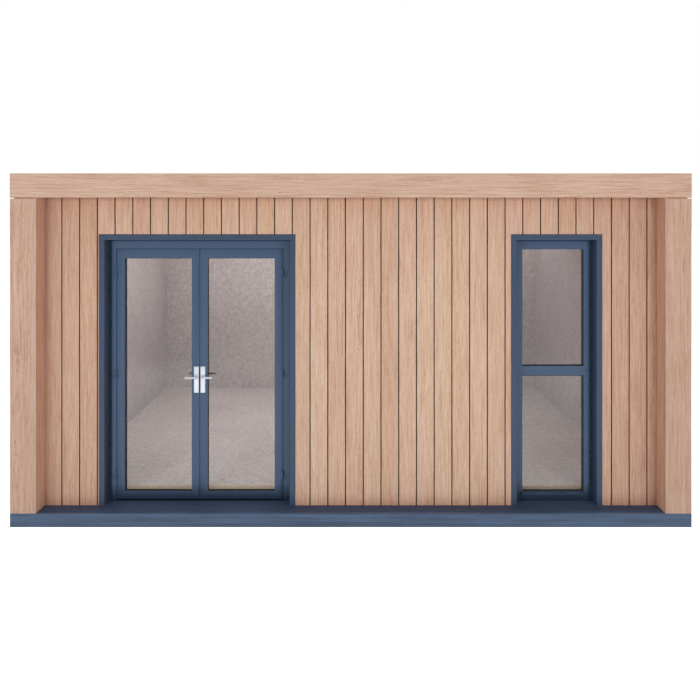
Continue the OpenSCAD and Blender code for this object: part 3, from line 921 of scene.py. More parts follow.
@dataclass
class Cladding:
    """Upright boards with shadow gaps on all four sides; painted shade darkens the tongues and the boards'
    sides in the gaps.

    The triples are shares of red, green and blue that painted shade takes from the front's colour.
    """

    finishes: Finishes
    half_width: float = 2.600
    front: float = -1.660
    back: float = 1.800
    side_from: float = -1.778
    side_to: float = 1.778
    wing_inside: float = 2.400
    foot: float = 0.105
    front_head: float = 2.519
    side_head: float = 2.507
    board: float = 0.022
    gap: float = 0.008
    gap_depth: float = 0.012
    # Painted shade on the boards' sides in the gaps, as a share of their colour.
    side_shade: float = 0.16
    # Painted shade: shares taken off the front boards' colour by the wings, the fascia, the corners, the
    # head and the foot.
    wing_shade: Triple = (0.12, 0.155, 0.155)
    fascia_shade: Triple = (0.045, 0.070, 0.070)
    head_shade: Triple = (0.075, 0.125, 0.140)
    foot_shade: Triple = (0.19, 0.30, 0.32)
    corner_shade: Triple = (0.15, 0.185, 0.20)
    right_shade_share: float = 1.3
    shade_from: float = 0.9
    shade_below: float = 0.67
    shade_run: float = 0.55
    corner_run: float = 0.18
    corner_fade: float = 0.05
    head_run: float = 0.10
    head_power: float = 1.2
    foot_run: float = 0.12
    foot_power: float = 1.6
    front_rows: tuple[float, ...] = (0.012, 0.026, 0.043, 0.33, 0.67, 0.955, 0.985)
    pitch: float = 0.1391
    first_gap: float = 0.1333
    openings: tuple[Pair, ...] = ((-1.975, -0.435), (1.258, 1.972))
    opening_head: float = 2.232
    lift: float = 0.0008
    soft_edge: float = 0.0025
    cut_edge: float = 0.00005
    least_strip: float = 0.001

    def edges(self, low: float, high: float) -> Array:
        """Edges of the boards between two places: the gaps repeat by the pitch from the first."""
        middle = np.arange(low + self.first_gap, high - 0.01, self.pitch)
        left = np.concatenate([[low], middle + self.gap / 2])
        right = np.concatenate([middle - self.gap / 2, [high]])
        return np.stack([left, right], axis=1)

    def bays(self) -> tuple[Array, Array]:
        """Edges and foot of each bay of the front: wall and opening take turns from wing to wing."""
        cuts = np.array([-self.wing_inside, *np.ravel(self.openings), self.wing_inside])
        foot = np.where(np.arange(len(cuts) - 1) % 2 == 1, self.opening_head, self.foot)
        return np.stack([cuts[:-1], cuts[1:]], axis=1), foot

    def strips(self, boards: Array) -> tuple[Array, Array, Array, Array]:
        """Cuts the front boards at the openings: a strip over an opening starts at its head.

        Args:
            boards: the two edges of each board.

        Returns:
            Edges, ends and edge radii of the strips, and the number of each strip's board.
        """
        spans, foot = self.bays()
        low = np.maximum(boards[:, None, 0], spans[None, :, 0])
        high = np.minimum(boards[:, None, 1], spans[None, :, 1])
        foot = np.broadcast_to(foot, low.shape)
        ease_low = np.where(low > boards[:, None, 0] + 1e-6, self.cut_edge, self.soft_edge)
        ease_high = np.where(high < boards[:, None, 1] - 1e-6, self.cut_edge, self.soft_edge)
        number = np.broadcast_to(np.arange(len(boards))[:, None], low.shape)
        keep = high - low > self.least_strip
        ends = np.stack([foot, np.full_like(low, self.front_head)], axis=-1)
        return (
            np.stack([low, high], axis=-1)[keep], ends[keep],
            np.stack([ease_low, ease_high], axis=-1)[keep], number[keep],
        )

    def painted_shade(self, across: Array, up: Array) -> Array:
        """Painted shade on the front's colour: redder and darker by the wings, under the fascia and above
        the ledge.

        The shade grows straight from shade_from off the middle to the wings, and on the right it is a set
        share stronger than on the left. It also grows straight with height, over shade_run from
        shade_below under the fascia. More painted shade is added close to the edges. By the wings it grows
        straight from corner_run off, and fades out again close to the corner itself. It grows as a power
        of the nearness over head_run under the fascia, and over foot_run above the ledge.

        Args:
            across: X of points of the boards.
            up: Z of the points.

        Returns:
            Factors of red, green and blue, one set for each point.
        """
        off = self.wing_inside - np.abs(across)
        reach = self.wing_inside - self.shade_from
        beside = np.clip((np.abs(across) - self.shade_from) / reach, 0.0, 1.0)
        beside = beside * np.where(across > 0, self.right_shade_share, 1.0)
        under = np.clip((up - self.front_head + self.shade_below) / self.shade_run, 0.0, 1.0)
        corner = np.clip(1 - off / self.corner_run, 0.0, 1.0) * np.clip(off / self.corner_fade, 0.0, 1.0)
        head = np.clip(1 - (self.front_head - up) / self.head_run, 0.0, 1.0) ** self.head_power
        foot = np.clip(1 - (up - self.foot) / self.foot_run, 0.0, 1.0) ** self.foot_power
        # painted shade: the colour is scaled down by the wings, under the fascia, in the corners, at the
        # head and at the foot
        factor = 1 - np.multiply.outer(beside, self.wing_shade)
        factor = factor - np.multiply.outer(under, self.fascia_shade)
        for shade_part, share in ((corner, self.corner_shade), (head, self.head_shade), (foot, self.foot_shade)):
            factor = factor * (1 - np.multiply.outer(shade_part, share))
        return factor

    def build(self) -> None:
        """Makes the boards and the tongues behind them, side by side."""
        self.build_front()
        depth = (self.side_from, self.side_to)
        for name, sign, seed in (("left", -1.0, 21), ("right", 1.0, 22)):
            lay = Lay(Y, Z, (-sign, 0, 0), (sign * self.half_width, 0, 0))
            self.build_wall(name, "side_cladding", seed, lay, depth)
        lay = Lay(X, Z, FORE, (0, self.back, 0))
        self.build_wall("back", "back_cladding", 23, lay, (-self.half_width, self.half_width))

    def tongues(self, name: str, lay: Lay, spans: Array, ends: Array) -> None:
        """Makes the layer of tongues behind a row of boards."""
        shell = Shell(7)
        row = BoardRow(lay, self.board - self.gap_depth, 0.0002, 0.0002)
        row.build(shell, spans, ends)
        shell.piece(name, SHELL, "cladding", self.finishes.gap)

    def build_front(self) -> None:
        """Makes the front, cut round the doorway and the window."""
        boards = self.edges(-self.wing_inside, self.wing_inside)
        across, along, ease, number = self.strips(boards)
        shell = Shell(20)
        lay = Lay(X, Z, Y, (0, self.front, 0))
        row = BoardRow(lay, self.gap_depth, edge_shade=self.side_shade, rows=self.front_rows)
        # the front boards carry painted shade by the wings, under the fascia and above the ledge
        row.build(shell, across, along, ease, number, self.lift, self.painted_shade)
        shell.piece("front_boards", SHELL, "cladding", self.finishes.cladding, (
            "front_cladding_left", "front_cladding_middle", "front_cladding_right", "front_cladding_heads",
        ))
        spans, foot = self.bays()
        ends = np.stack([foot, np.full(len(spans), self.front_head)], axis=1)
        self.tongues("front_tongues", lay.behind(self.gap_depth), spans, ends)

    def build_wall(self, name: str, node: str, seed: int, lay: Lay, span: Pair) -> None:
        """Makes a wall without openings.

        Args:
            name: the start of its pieces' names.
            node: the CAD node that its boards stand for.
            seed: the start of its boards' random numbers.
            lay: the plane of its face.
            span: its two edges.
        """
        boards = self.edges(*span)
        ends = np.tile([self.foot, self.side_head], (len(boards), 1))
        shell = Shell(seed)
        row = BoardRow(lay, self.gap_depth, edge_shade=self.side_shade)
        row.build(shell, boards, ends, lift=self.lift)
        shell.piece(name + "_boards", SHELL, "cladding", self.finishes.cladding, (node,))
        self.tongues(name + "_tongues", lay.behind(self.gap_depth), np.array([span]), ends[:1])


@dataclass
class Wings:
    """The two forward wings, each cased with a wide front board and a return board."""

    finishes: Finishes
    half_width: float = 2.600
    inside: float = 2.400
    front: float = -1.800
    wall: float = -1.638
    foot: float = 0.105
    head: float = 2.507
    return_head: float = 2.5185
    board: float = 0.022
    # Painted shade: the wing fronts are toned a little darker than the wall boards against the light that
    # falls on them, and the returns, which face each other, darker and redder still.
    face_shade_tint: Triple = (0.842, 0.827, 0.863)
    face_spread: Triple = (0.012, 0.014, 0.016)
    return_shade_tint: Triple = (0.98, 0.84, 0.79)
    return_spread: Triple = (0.01, 0.01, 0.01)
    return_ease: float = 0.0008

    def build(self) -> None:
        """Makes the casings and dresses the posts."""
        ends = np.array([[self.foot, self.head]])
        shell = Shell(31)
        face = Lay(X, Z, Y, (0, self.front, 0))
        row = BoardRow(face, self.board, tint_base=self.face_shade_tint, tint_spread=self.face_spread)
        spans = np.array([[-self.half_width, -self.inside], [self.inside, self.half_width]])
        row.build(shell, spans, np.repeat(ends, 2, axis=0))
        for sign in (-1.0, 1.0):
            lay = Lay(Y, Z, (sign, 0, 0), (sign * self.inside, 0, 0))
            side = BoardRow(
                lay, self.board, self.return_ease, tint_base=self.return_shade_tint,
                tint_spread=self.return_spread)
            tall = np.array([[self.foot, self.return_head]])
            side.build(shell, np.array([[self.front + self.board, self.wall]]), tall)
        shell.piece("wing_boards", SHELL, "cladding", self.finishes.cladding, ("wing_casings",))
        dress(self.finishes.sawn[Grain.Z], "wing_posts")


@dataclass
class Fascia:
    """Deep boards round the edge of the roof, with a drip kerf below, and the soffit boards."""

    finishes: Finishes
    half_width: float = 2.600
    half_depth: float = 1.800
    low: float = 2.515
    high: float = 2.700
    board: float = 0.022
    soffit_low: float = 2.519
    soffit_thick: float = 0.012
    wall: float = -1.638
    kerf: float = 0.004
    kerf_inset: float = 0.008
    ease: float = 0.0025
    joint: float = 0.0005
    soffit_ease: float = 0.0012
    # Painted shade: the fascia boards are toned darker than the wall boards against the stronger light on
    # them.
    tone: Triple = (0.905, 0.895, 0.938)
    tone_spread: float = 0.008
    log_from: Triple = (-0.12, 0.04, 0.0)
    log_to: Triple = (0.02, 0.14, 60.0)

    def section(self) -> tuple[Array, Array]:
        """Outline of a board: quarter-round front edges, and a square kerf in its lower edge."""
        turn = quarter(4)
        tall = self.high - self.low
        near, far = self.kerf_inset, self.kerf_inset + self.kerf
        up = np.concatenate([
            self.ease * (1 - np.cos(turn)), tall * np.array([0.25, 0.5, 0.75]),
            tall - self.ease * (1 - np.cos(turn[::-1])),
            [tall, 0.0, 0.0, self.kerf, self.kerf, 0.0],
        ])
        deep = np.concatenate([
            self.ease * (1 - np.sin(turn)), np.zeros(3), self.ease * (1 - np.sin(turn[::-1])),
            [self.board, self.board, far, far, near, near],
        ])
        return up, deep

    def run(self, shell: Shell, lay: Lay, half: float) -> None:
        """Carries the section along one side of the roof.

        Args:
            shell: the piece.
            lay: across points up from the lower edge, and along runs with the board.
            half: half its length.
        """
        up, deep = self.section()
        length = np.array([-1.0, -0.33, 0.33, 1.0])[:, None] * half
        wide = np.broadcast_to(up, (4, len(up)))
        depth = np.broadcast_to(deep, (4, len(up)))
        rings = lay.put(wide, length, depth)
        shift = shell.chance.uniform(self.log_from, self.log_to)
        grain = np.stack(np.broadcast_arrays(wide, depth, length), axis=-1) + shift
        tint = np.array([self.tone]) * (1 + shell.chance.normal(0.0, self.tone_spread))
        shell.stacks(rings[None], grain[None], tint)

    def build(self) -> None:
        """Makes the four fascia boards and the soffit boards."""
        front, rest, under = Shell(41), Shell(42), Shell(43)
        lay = Lay(Z, X, Y, (0, -self.half_depth, self.low))
        self.run(front, lay, self.half_width)
        front.piece("front_fascia_board", SHELL, "cladding", self.finishes.cladding, ("fascia_front",))
        lay = Lay(Z, X, FORE, (0, self.half_depth, self.low))
        self.run(rest, lay, self.half_width)
        inner = self.half_depth - self.board - self.joint
        for sign in (-1.0, 1.0):
            lay = Lay(Z, Y, (-sign, 0, 0), (sign * self.half_width, 0, self.low))
            self.run(rest, lay, inner)
        rest.piece("fascia_return_boards", SHELL, "cladding", self.finishes.cladding, ("fascia_returns",))
        edge = self.half_width - self.board
        lay = Lay(Y, X, Z, (0, 0, self.soffit_low))
        BoardRow(lay, self.soffit_thick, self.soffit_ease).build(
            under, np.array([[-self.half_depth + self.board, self.wall]]), np.array([[-edge, edge]]))
        under.piece("soffit_board", SHELL, "cladding", self.finishes.cladding, ("soffit",))


@dataclass
class Base:
    """Painted skirting boards round the base, the ledge in front and the timber floor below."""

    finishes: Finishes
    half_width: float = 2.600
    half_depth: float = 1.800
    high: float = 0.105
    board: float = 0.022
    deck_thick: float = 0.025
    deck_to: float = -1.440
    joint: float = 0.0005
    ease: float = 0.003
    ledge_ease: float = 0.001
    steady: Triple = (0.006, 0.006, 0.006)

    def build(self) -> None:
        """Makes the skirting and the ledge, and dresses the joists and the floor panel."""
        shell = Shell(51)
        span = np.array([[0.0, self.high]])
        for sign in (-1.0, 1.0):
            lay = Lay(Z, X, (0, -sign, 0), (0, sign * self.half_depth, 0))
            row = BoardRow(lay, self.board, self.ease, tint_spread=self.steady)
            row.build(shell, span, np.array([[-self.half_width, self.half_width]]))
        inner = self.half_depth - self.board - self.joint
        for sign in (-1.0, 1.0):
            lay = Lay(Z, Y, (-sign, 0, 0), (sign * self.half_width, 0, 0))
            row = BoardRow(lay, self.board, self.ease, tint_spread=self.steady)
            row.build(shell, span, np.array([[-inner, inner]]))
        shell.piece("skirting_boards", SHELL, "paint", self.finishes.skirt_paint, ("base_skirt",))
        ledge = Shell(52)
        edge = self.half_width - self.board
        lay = Lay(Y, X, DOWN, (0, 0, self.high))
        row = BoardRow(lay, self.deck_thick, self.ledge_ease, tint_spread=self.steady)
        span = np.array([[-self.half_depth + self.board, self.deck_to]])
        row.build(ledge, span, np.array([[-edge, edge]]))
        ledge.piece("ledge_board", SHELL, "paint", self.finishes.ledge_paint, ("front_deck",))
        dress(self.finishes.sawn[Grain.Y], "floor_joists")
        dress(self.finishes.sawn[Grain.X], "floor_panel")


@dataclass
class Roof:
    """The sloping roof panels under a membrane that turns up against the fascia."""

    finishes: Finishes
    half_width: float = 2.578
    half_depth: float = 1.778
    front_level: float = 2.678
    back_level: float = 2.642
    thick: float = 0.005
    upstand: float = 2.695
    seams: tuple[float, ...] = (-1.30, 0.0, 1.30)
    fillet: float = 0.030
    field_from: float = 0.08
    lap_half: float = 0.0012
    lap_wide: float = 0.05
    lap_high: float = 0.0015
    ripple_high: float = 0.0012

    def build(self) -> None:
        """Makes the membrane and dresses the panels below it."""
        dress(self.finishes.sawn[Grain.X], "roof_panel", "roof_overhang")
        self.build_membrane()

    def build_membrane(self) -> None:
        """Makes the membrane as one height over a grid.

        The height is the slope of the roof, plus a low lap along each seam and slow ripples, and
        near an edge it rises to the upstand on a smooth step.
        """
        lip, fillet = self.thick, self.fillet
        ends = np.array([0.0, lip * 0.5, lip, lip + fillet * 0.3, lip + fillet * 0.6, lip + fillet])
        laps = np.ravel([
            [seam - self.lap_half, seam + self.lap_half, seam + self.lap_wide] for seam in self.seams
        ])
        reach_x, reach_y = self.half_width - self.field_from, self.half_depth - self.field_from
        inner_x = np.concatenate([np.linspace(-reach_x, reach_x, 64), laps])
        x = np.concatenate([-self.half_width + ends, np.sort(inner_x), (self.half_width - ends)[::-1]])
        inner_y = np.linspace(-reach_y, reach_y, 44)
        y = np.concatenate([-self.half_depth + ends, inner_y, (self.half_depth - ends)[::-1]])
        wide, deep = np.meshgrid(x, y, indexing="ij")
        share = (deep + self.half_depth) / (2 * self.half_depth)
        floor = self.front_level + (self.back_level - self.front_level) * share
        edge = np.minimum(self.half_width - np.abs(wide), self.half_depth - np.abs(deep))
        step = np.clip((lip + fillet - edge) / fillet, 0.0, 1.0)
        rise = step * step * (3 - 2 * step)
        flat = np.clip((edge - 0.06) / 0.15, 0.0, 1.0)
        lap = sum(
            self.lap_high * np.clip((wide - seam + self.lap_half) / (2 * self.lap_half), 0, 1)
            * (wide < seam + self.lap_wide + 0.001)
            for seam in self.seams
        )
        waves = np.sin(3.1 * wide + 1.3 * np.sin(2.3 * deep)) * np.sin(2.7 * deep + 0.8)
        ripple = self.ripple_high * waves
        top = floor + self.thick + flat * (lap + ripple)
        top = top + (self.upstand - top) * rise
        under = floor + 0.0002
        shell = Shell(61)
        self.close_grid(shell, wide, deep, top, under)
        shell.piece("roof_covering", SHELL, "membrane", self.finishes.membrane, ("roof_membrane",))

    @staticmethod
    def close_grid(shell: Shell, wide: Array, deep: Array, top: Array, under: Array) -> None:
        """Closes two heights over one grid into a sheet: top, underside and the band between.

        Args:
            shell: the piece.
            wide: X of the grid.
            deep: Y of the grid.
            top: the upper height.
            under: the lower height.
        """
        rows, columns = top.shape
        upper = np.arange(rows * columns).reshape(rows, columns)
        lower = upper + rows * columns

        def rim(index: Array) -> Array:
            """Points round the edge of a grid, in order."""
            return np.concatenate([index[:-1, 0], index[-1, :-1], index[:0:-1, -1], index[0, :0:-1]])

        above, below = rim(upper), rim(lower)
        band = np.stack([below, np.roll(below, -1), np.roll(above, -1), above], axis=-1)
        points = np.concatenate([
            np.stack([wide, deep, top], axis=-1).reshape(-1, 3),
            np.stack([wide, deep, under], axis=-1).reshape(-1, 3),
        ])
        faces = [np.concatenate([grid_cells(upper), grid_cells(lower)[:, ::-1], band])]
        shell.take(points, faces, points, np.ones((len(points), 3)))


@dataclass
class Surround:
    """Deep painted lining boards round an opening, which show in front as a flat trim."""

    finishes: Finishes
    name: str
    node: str
    middle: float
    half: float
    seed: int
    lining: float = 0.045
    front: float = -1.665
    back: float = -1.440
    foot: float = 0.105
    head: float = 2.187
    joint: float = 0.0005
    ease: float = 0.003
    steady: Triple = (0.012, 0.012, 0.012)

    def build(self) -> None:
        """Makes the two uprights and the head board on them."""
        shell = Shell(self.seed)
        thick = self.back - self.front
        upright = Lay(X, Z, Y, (self.middle, self.front, 0))
        outer = self.half + self.lining
        BoardRow(upright, thick, self.ease, tint_spread=self.steady).build(
            shell, np.array([[-outer, -self.half], [self.half, outer]]),
            np.tile([self.foot, self.head - self.joint], (2, 1)))
        level = Lay(Z, X, Y, (self.middle, self.front, 0))
        BoardRow(level, thick, self.ease, tint_spread=self.steady).build(
            shell, np.array([[self.head, self.head + self.lining]]), np.array([[-outer, outer]]))
        shell.piece(self.name, SHELL, "paint", self.finishes.lining_paint, (self.node,))


def sealant_shade(
    shell: Shell, low: Pair, high: Pair, face: float,
    widths: Triple, rise: float = 0.012, tuck: float = 0.0005,
) -> None:
    """Adds a bead of dark sealant between a frame and its lining, wide enough to stand for painted shade
    in the corner: a hollow quarter of an ellipse.

    Args:
        shell: the piece.
        low: X and Z of the foot of the left lining.
        high: X and Z of the right upper corner of the linings.
        face: Y of the face of the frame.
        widths: how far the bead laps the left jamb, the right jamb and the head.
        rise: how far it laps the lining.
        tuck: how far it reaches into both.
    """
    turn = quarter(5)
    reach = np.concatenate([[0.0], np.sin(turn) - 1, [0.0]])
    offset = np.concatenate([[tuck], np.zeros(len(turn)), [tuck]])
    depth = np.concatenate([[face + tuck], face - rise * (1 - np.cos(turn)), [face - rise]])
    shell.stacks(arched(low, high, widths, reach, offset, depth)[None])


@dataclass
class Glazing:
    """The section that holds a glazing unit, shared by the door leaves and the window."""

    front: float = -1.572
    back: float = -1.528
    glass_front: float = -1.556
    glass_back: float = -1.542
    ease: float = 0.002
    splay: float = 0.007
    seal: float = 0.0030
    seal_deep: float = 0.0075
    seal_tuck: float = 0.001
    seal_off: float = 0.0004

    def frame(self, outer_ease: float) -> tuple[Array, Array, Array]:
        """Section of a glazed frame: eased front edges, a square rebate and a splayed bead behind.

        Args:
            outer_ease: the radius of the outer front edge.

        Returns:
            Reach, offset and depth of each point, as mitred() takes them.
        """
        turn = quarter(4)
        inner_off = self.ease * (1 - np.cos(turn[::-1]))
        inner_deep = self.front + self.ease * (1 - np.sin(turn[::-1]))
        outer_off = -outer_ease * (1 - np.cos(turn))
        outer_deep = self.front + outer_ease * (1 - np.sin(turn))
        reach = np.concatenate([np.ones(4), np.zeros(4), [0.0, 0.0, 1.0]])
        offset = np.concatenate([outer_off, inner_off, [0.0, self.splay, 0.0]])
        depth = np.concatenate([outer_deep, inner_deep, [self.glass_back, self.back, self.back]])
        return reach, offset, depth

    def seals(
        self, shell: Shell, low: Pair, high: Pair,
        shade_lips: Four,
    ) -> None:
        """Adds the gaskets on both faces of a unit: a strip on the frame with a round toe at the glass.

        Args:
            shell: the piece.
            low: X and Z of the lower left corner of the glass that shows.
            high: X and Z of its upper right corner.
            shade_lips: how much farther the gasket laps the glass on the left, right, bottom and top;
                these extra laps are painted shade on the rebate's shaded sides.
        """
        turn = quarter(4)
        toe = np.concatenate([-np.cos(turn), [0.0, 0.0]])
        for face, way in ((self.glass_front, -1.0), (self.glass_back, 1.0)):
            deep = self.seal_deep if way < 0 else self.seal
            offset = np.concatenate([-self.seal * np.cos(turn), [self.seal_tuck, self.seal_tuck]])
            rise = np.concatenate([deep * np.sin(turn), [deep, 0.0]]) + self.seal_off
            shell.loop(mitred(low, high, shade_lips, toe, offset, face + way * rise))


@dataclass
class DoorLeaf:
    """One glazed door leaf with its gaskets, its handle plates and its levers; the door set makes its
    hinges.
    """

    finishes: Finishes
    glazing: Glazing
    side: str
    sign: float
    hinge_edge: float
    meeting_edge: float
    spindle: float
    shade_lips: Four
    low: float = 0.123
    high: float = 2.111
    stile: float = 0.060
    top_rail: float = 0.072
    bottom_rail: float = 0.057
    bevel: float = 0.003
    ease: float = 0.002
    strip_reach: Four = (0.006, 0.0028, 0.0080, 0.006)
    strip_tuck: float = 0.001
    strip_depths: tuple[float, ...] = (0.0045, 0.0050, 0.0090, 0.0095)
    spindle_height: float = 1.096
    plate_half: Pair = (0.019, 0.1045)
    plate_thick: float = 0.009
    plate_above: float = 0.080
    plate_corner: float = 0.004
    plate_ease: float = 0.003
    flank_turn: float = 20.0
    flank_end: float = 60.0
    screw: Pair = (0.0034, 0.0016)
    screw_up: float = 0.093
    screw_sink: float = 0.0008
    neck_hole: float = 0.0097
    neck: float = 0.0094
    bar: float = 0.0080
    bar_length: float = 0.085
    bend: float = 0.016
    bend_steps: int = 9
    standoff: float = 0.0502
    lever_gap: float = 0.0006
    collar: float = 0.014
    collar_high: float = 0.008
    collar_gap: float = 0.0004
    crisp_above: float = 50.0

    @property
    def body(self) -> str:
        """The body that the leaf rides on."""
        return self.side + "_door"

    @property
    def glass(self) -> tuple[Pair, Pair]:
        """Lower left and upper right corner of the glass that shows."""
        left, right = sorted((self.hinge_edge, self.meeting_edge))
        return (
            (left + self.stile, self.low + self.bottom_rail),
            (right - self.stile, self.high - self.top_rail),
        )

    def build(self) -> None:
        """Makes the leaf and what is on it."""
        self.build_leaf()
        self.build_seals()
        self.build_strip()
        self.build_plates()
        self.build_lever()
        dress(self.finishes.glass, self.side + "_door_glass")

    def build_leaf(self) -> None:
        """Carries the glazed section round the leaf, and leans its meeting edge back."""
        reach, offset, depth = self.glazing.frame(self.ease)
        low, high = self.glass
        rings = mitred(
            low, high, (self.stile, self.stile, self.bottom_rail, self.top_rail), reach, offset, depth)
        deep = (depth - self.glazing.front) / (self.glazing.back - self.glazing.front)
        lean = np.where(reach > 0.5, deep, 0.0) * self.bevel
        corner = np.abs(rings[:, 0, 0] - self.meeting_edge) < 0.02
        rings[..., 0] -= np.sign(self.meeting_edge - self.hinge_edge) * corner[:, None] * lean
        shell = Shell(71)
        shell.loop(rings)
        shell.piece(self.side + "_leaf", self.body, "paint", self.finishes.frame_paint,
                    (self.side + "_door_leaf",))

    def build_seals(self) -> None:
        """Makes the gaskets."""
        shell = Shell(72)
        self.glazing.seals(shell, *self.glass, self.shade_lips)
        shell.piece(self.side + "_leaf_gaskets", self.body, "paint", self.finishes.gasket)

    def build_strip(self) -> None:
        """Carries a weather strip round the edge of the leaf: a thin fin behind its face."""
        left, right = sorted((self.hinge_edge, self.meeting_edge))
        hinge, meeting = self.strip_reach[:2]
        sides = (hinge, meeting) if self.hinge_edge < self.meeting_edge else (meeting, hinge)
        reach = np.array([0.0, 1.0, 1.0, 0.0])
        offset = np.array([-self.strip_tuck, 0.0, 0.0, -self.strip_tuck])
        depth = self.glazing.front + np.array(self.strip_depths)
        shell = Shell(75)
        shell.loop(mitred(
            (left, self.low), (right, self.high), sides + self.strip_reach[2:], reach, offset, depth))
        shell.piece(self.side + "_leaf_strip", self.body, "paint", self.finishes.frame_paint)

    def with_flanks(self, outline: Array, level: float) -> Array:
        """Adds points to the long sides of a plate, at even angles from the neck, to make its hole round.

        Args:
            outline: points round the plate, a quarter of them at each corner, from the right upper one on.
            level: the height of the neck over the plate's middle.

        Returns:
            The outline with the new points in their places.
        """
        half = self.plate_half[0]
        angle = np.arange(-self.flank_end, self.flank_end + 1.0, self.flank_turn)
        up = level + half * np.tan(np.radians(angle))
        left = np.stack([np.full_like(up, -half), up[::-1]], axis=-1)
        right = np.stack([np.full_like(up, half), up], axis=-1)
        middle = len(outline) // 2
        return np.concatenate([outline[:middle], left, outline[middle:], right])

    def build_plates(self) -> None:
        """Makes a plate on each face: rings from the neck's hole out to a rounded, eased outline."""
        shell = Shell(73)
        centre = self.spindle_height + self.plate_above - self.plate_half[1]
        outline = rounded_outline(self.plate_half, self.plate_corner, 8)
        shift = np.array([0.0, self.spindle_height - centre])
        outline = self.with_flanks(outline, float(shift[1]))
        angle = np.arctan2(*(outline - shift).T[::-1])
        hole = shift + self.neck_hole * np.stack([np.cos(angle), np.sin(angle)], axis=-1)
        ease, turn = self.plate_ease, quarter(5)
        drawn = (ease * (1 - np.cos(turn)))[:, None, None]
        outer = outline[None] * (1 - drawn / np.array(self.plate_half))
        flat = np.concatenate([hole[None], hole[None], outer[::-1], outline[None]])
        level = np.concatenate([
            [0.0, self.plate_thick], (self.plate_thick - ease * (1 - np.sin(turn)))[::-1], [0.0]])
        for face, way in ((self.glazing.front, -1.0), (self.glazing.back, 1.0)):
            lay = Lay(X, Z, (0, way, 0), (self.spindle, face, centre))
            shell.loop(lay.put(flat[..., 0], flat[..., 1], level[:, None]))
            foot = face + way * (self.plate_thick - self.screw_sink)
            for up in (-self.screw_up, self.screw_up):
                screw_head(shell, (self.spindle, foot, centre + up), way, self.screw, 5, 20)
        shell.piece(self.side + "_plates", self.body, "handle_metal", self.finishes.handle,
                    (self.side + "_handle_plates",), self.crisp_above)

    def build_lever(self) -> None:
        """Makes the two levers: a round bar carried out of the leaf, round a bend and to a domed tip."""
        bend, steps = self.bend, self.bend_steps
        turn = quarter(steps)
        dome = np.linspace(0.15, math.pi / 2 - 0.1, 6)
        tip = self.bar_length - self.bar
        out = np.concatenate([
            [self.lever_gap, self.standoff - bend - 0.004], self.standoff - bend + bend * np.sin(turn),
            np.full(2 + len(dome), self.standoff)])
        run = np.concatenate([
            [0.0, 0.0], bend * (1 - np.cos(turn)), [bend + 0.012, tip], tip + self.bar * np.sin(dome)])
        slope = np.concatenate([[0.0, 0.0], turn, np.full(2 + len(dome), math.pi / 2)])
        thick = np.concatenate([
            [self.neck, self.neck], np.linspace(self.neck, self.bar, steps),
            [self.bar, self.bar], self.bar * np.cos(dome)])
        angle = np.linspace(0.0, 2 * math.pi, 28, endpoint=False)
        side = thick[:, None] * np.cos(angle)
        up = thick[:, None] * np.sin(angle)
        away = out[:, None] - side * np.sin(slope)[:, None]
        along = run[:, None] + side * np.cos(slope)[:, None]
        seat, core = self.plate_thick + self.collar_gap, self.neck * 0.6
        wide, high = self.collar, self.collar_high
        ring_r = np.array([core, wide - 0.001, wide, wide, wide - 0.0015, self.neck + 0.001, core])
        ring_h = seat + np.array([0.0, 0.0, 0.001, 0.45 * high, 0.72 * high, high, high])
        for name, face, way, metal in (
            ("_lever_outside", self.glazing.front, -1.0, self.finishes.handle),
            # the inside lever's brown tone is a painted reflection of the dim room
            ("_lever_inside", self.glazing.back, 1.0, self.finishes.inner_handle_reflection),
        ):
            shell = Shell(74)
            lay = Lay((self.sign, 0, 0), Z, (0, way, 0), (self.spindle, face, self.spindle_height))
            shell.stacks(lay.put(along, up, away)[None])
            axis = Lay(X, (0, way, 0), Z, (self.spindle, face, self.spindle_height))
            shell.stacks(turned(axis, ring_r, ring_h)[None])
            body = self.side + "_lever"
            shell.piece(self.side + name, body, "handle_metal", metal, (body,), self.crisp_above)


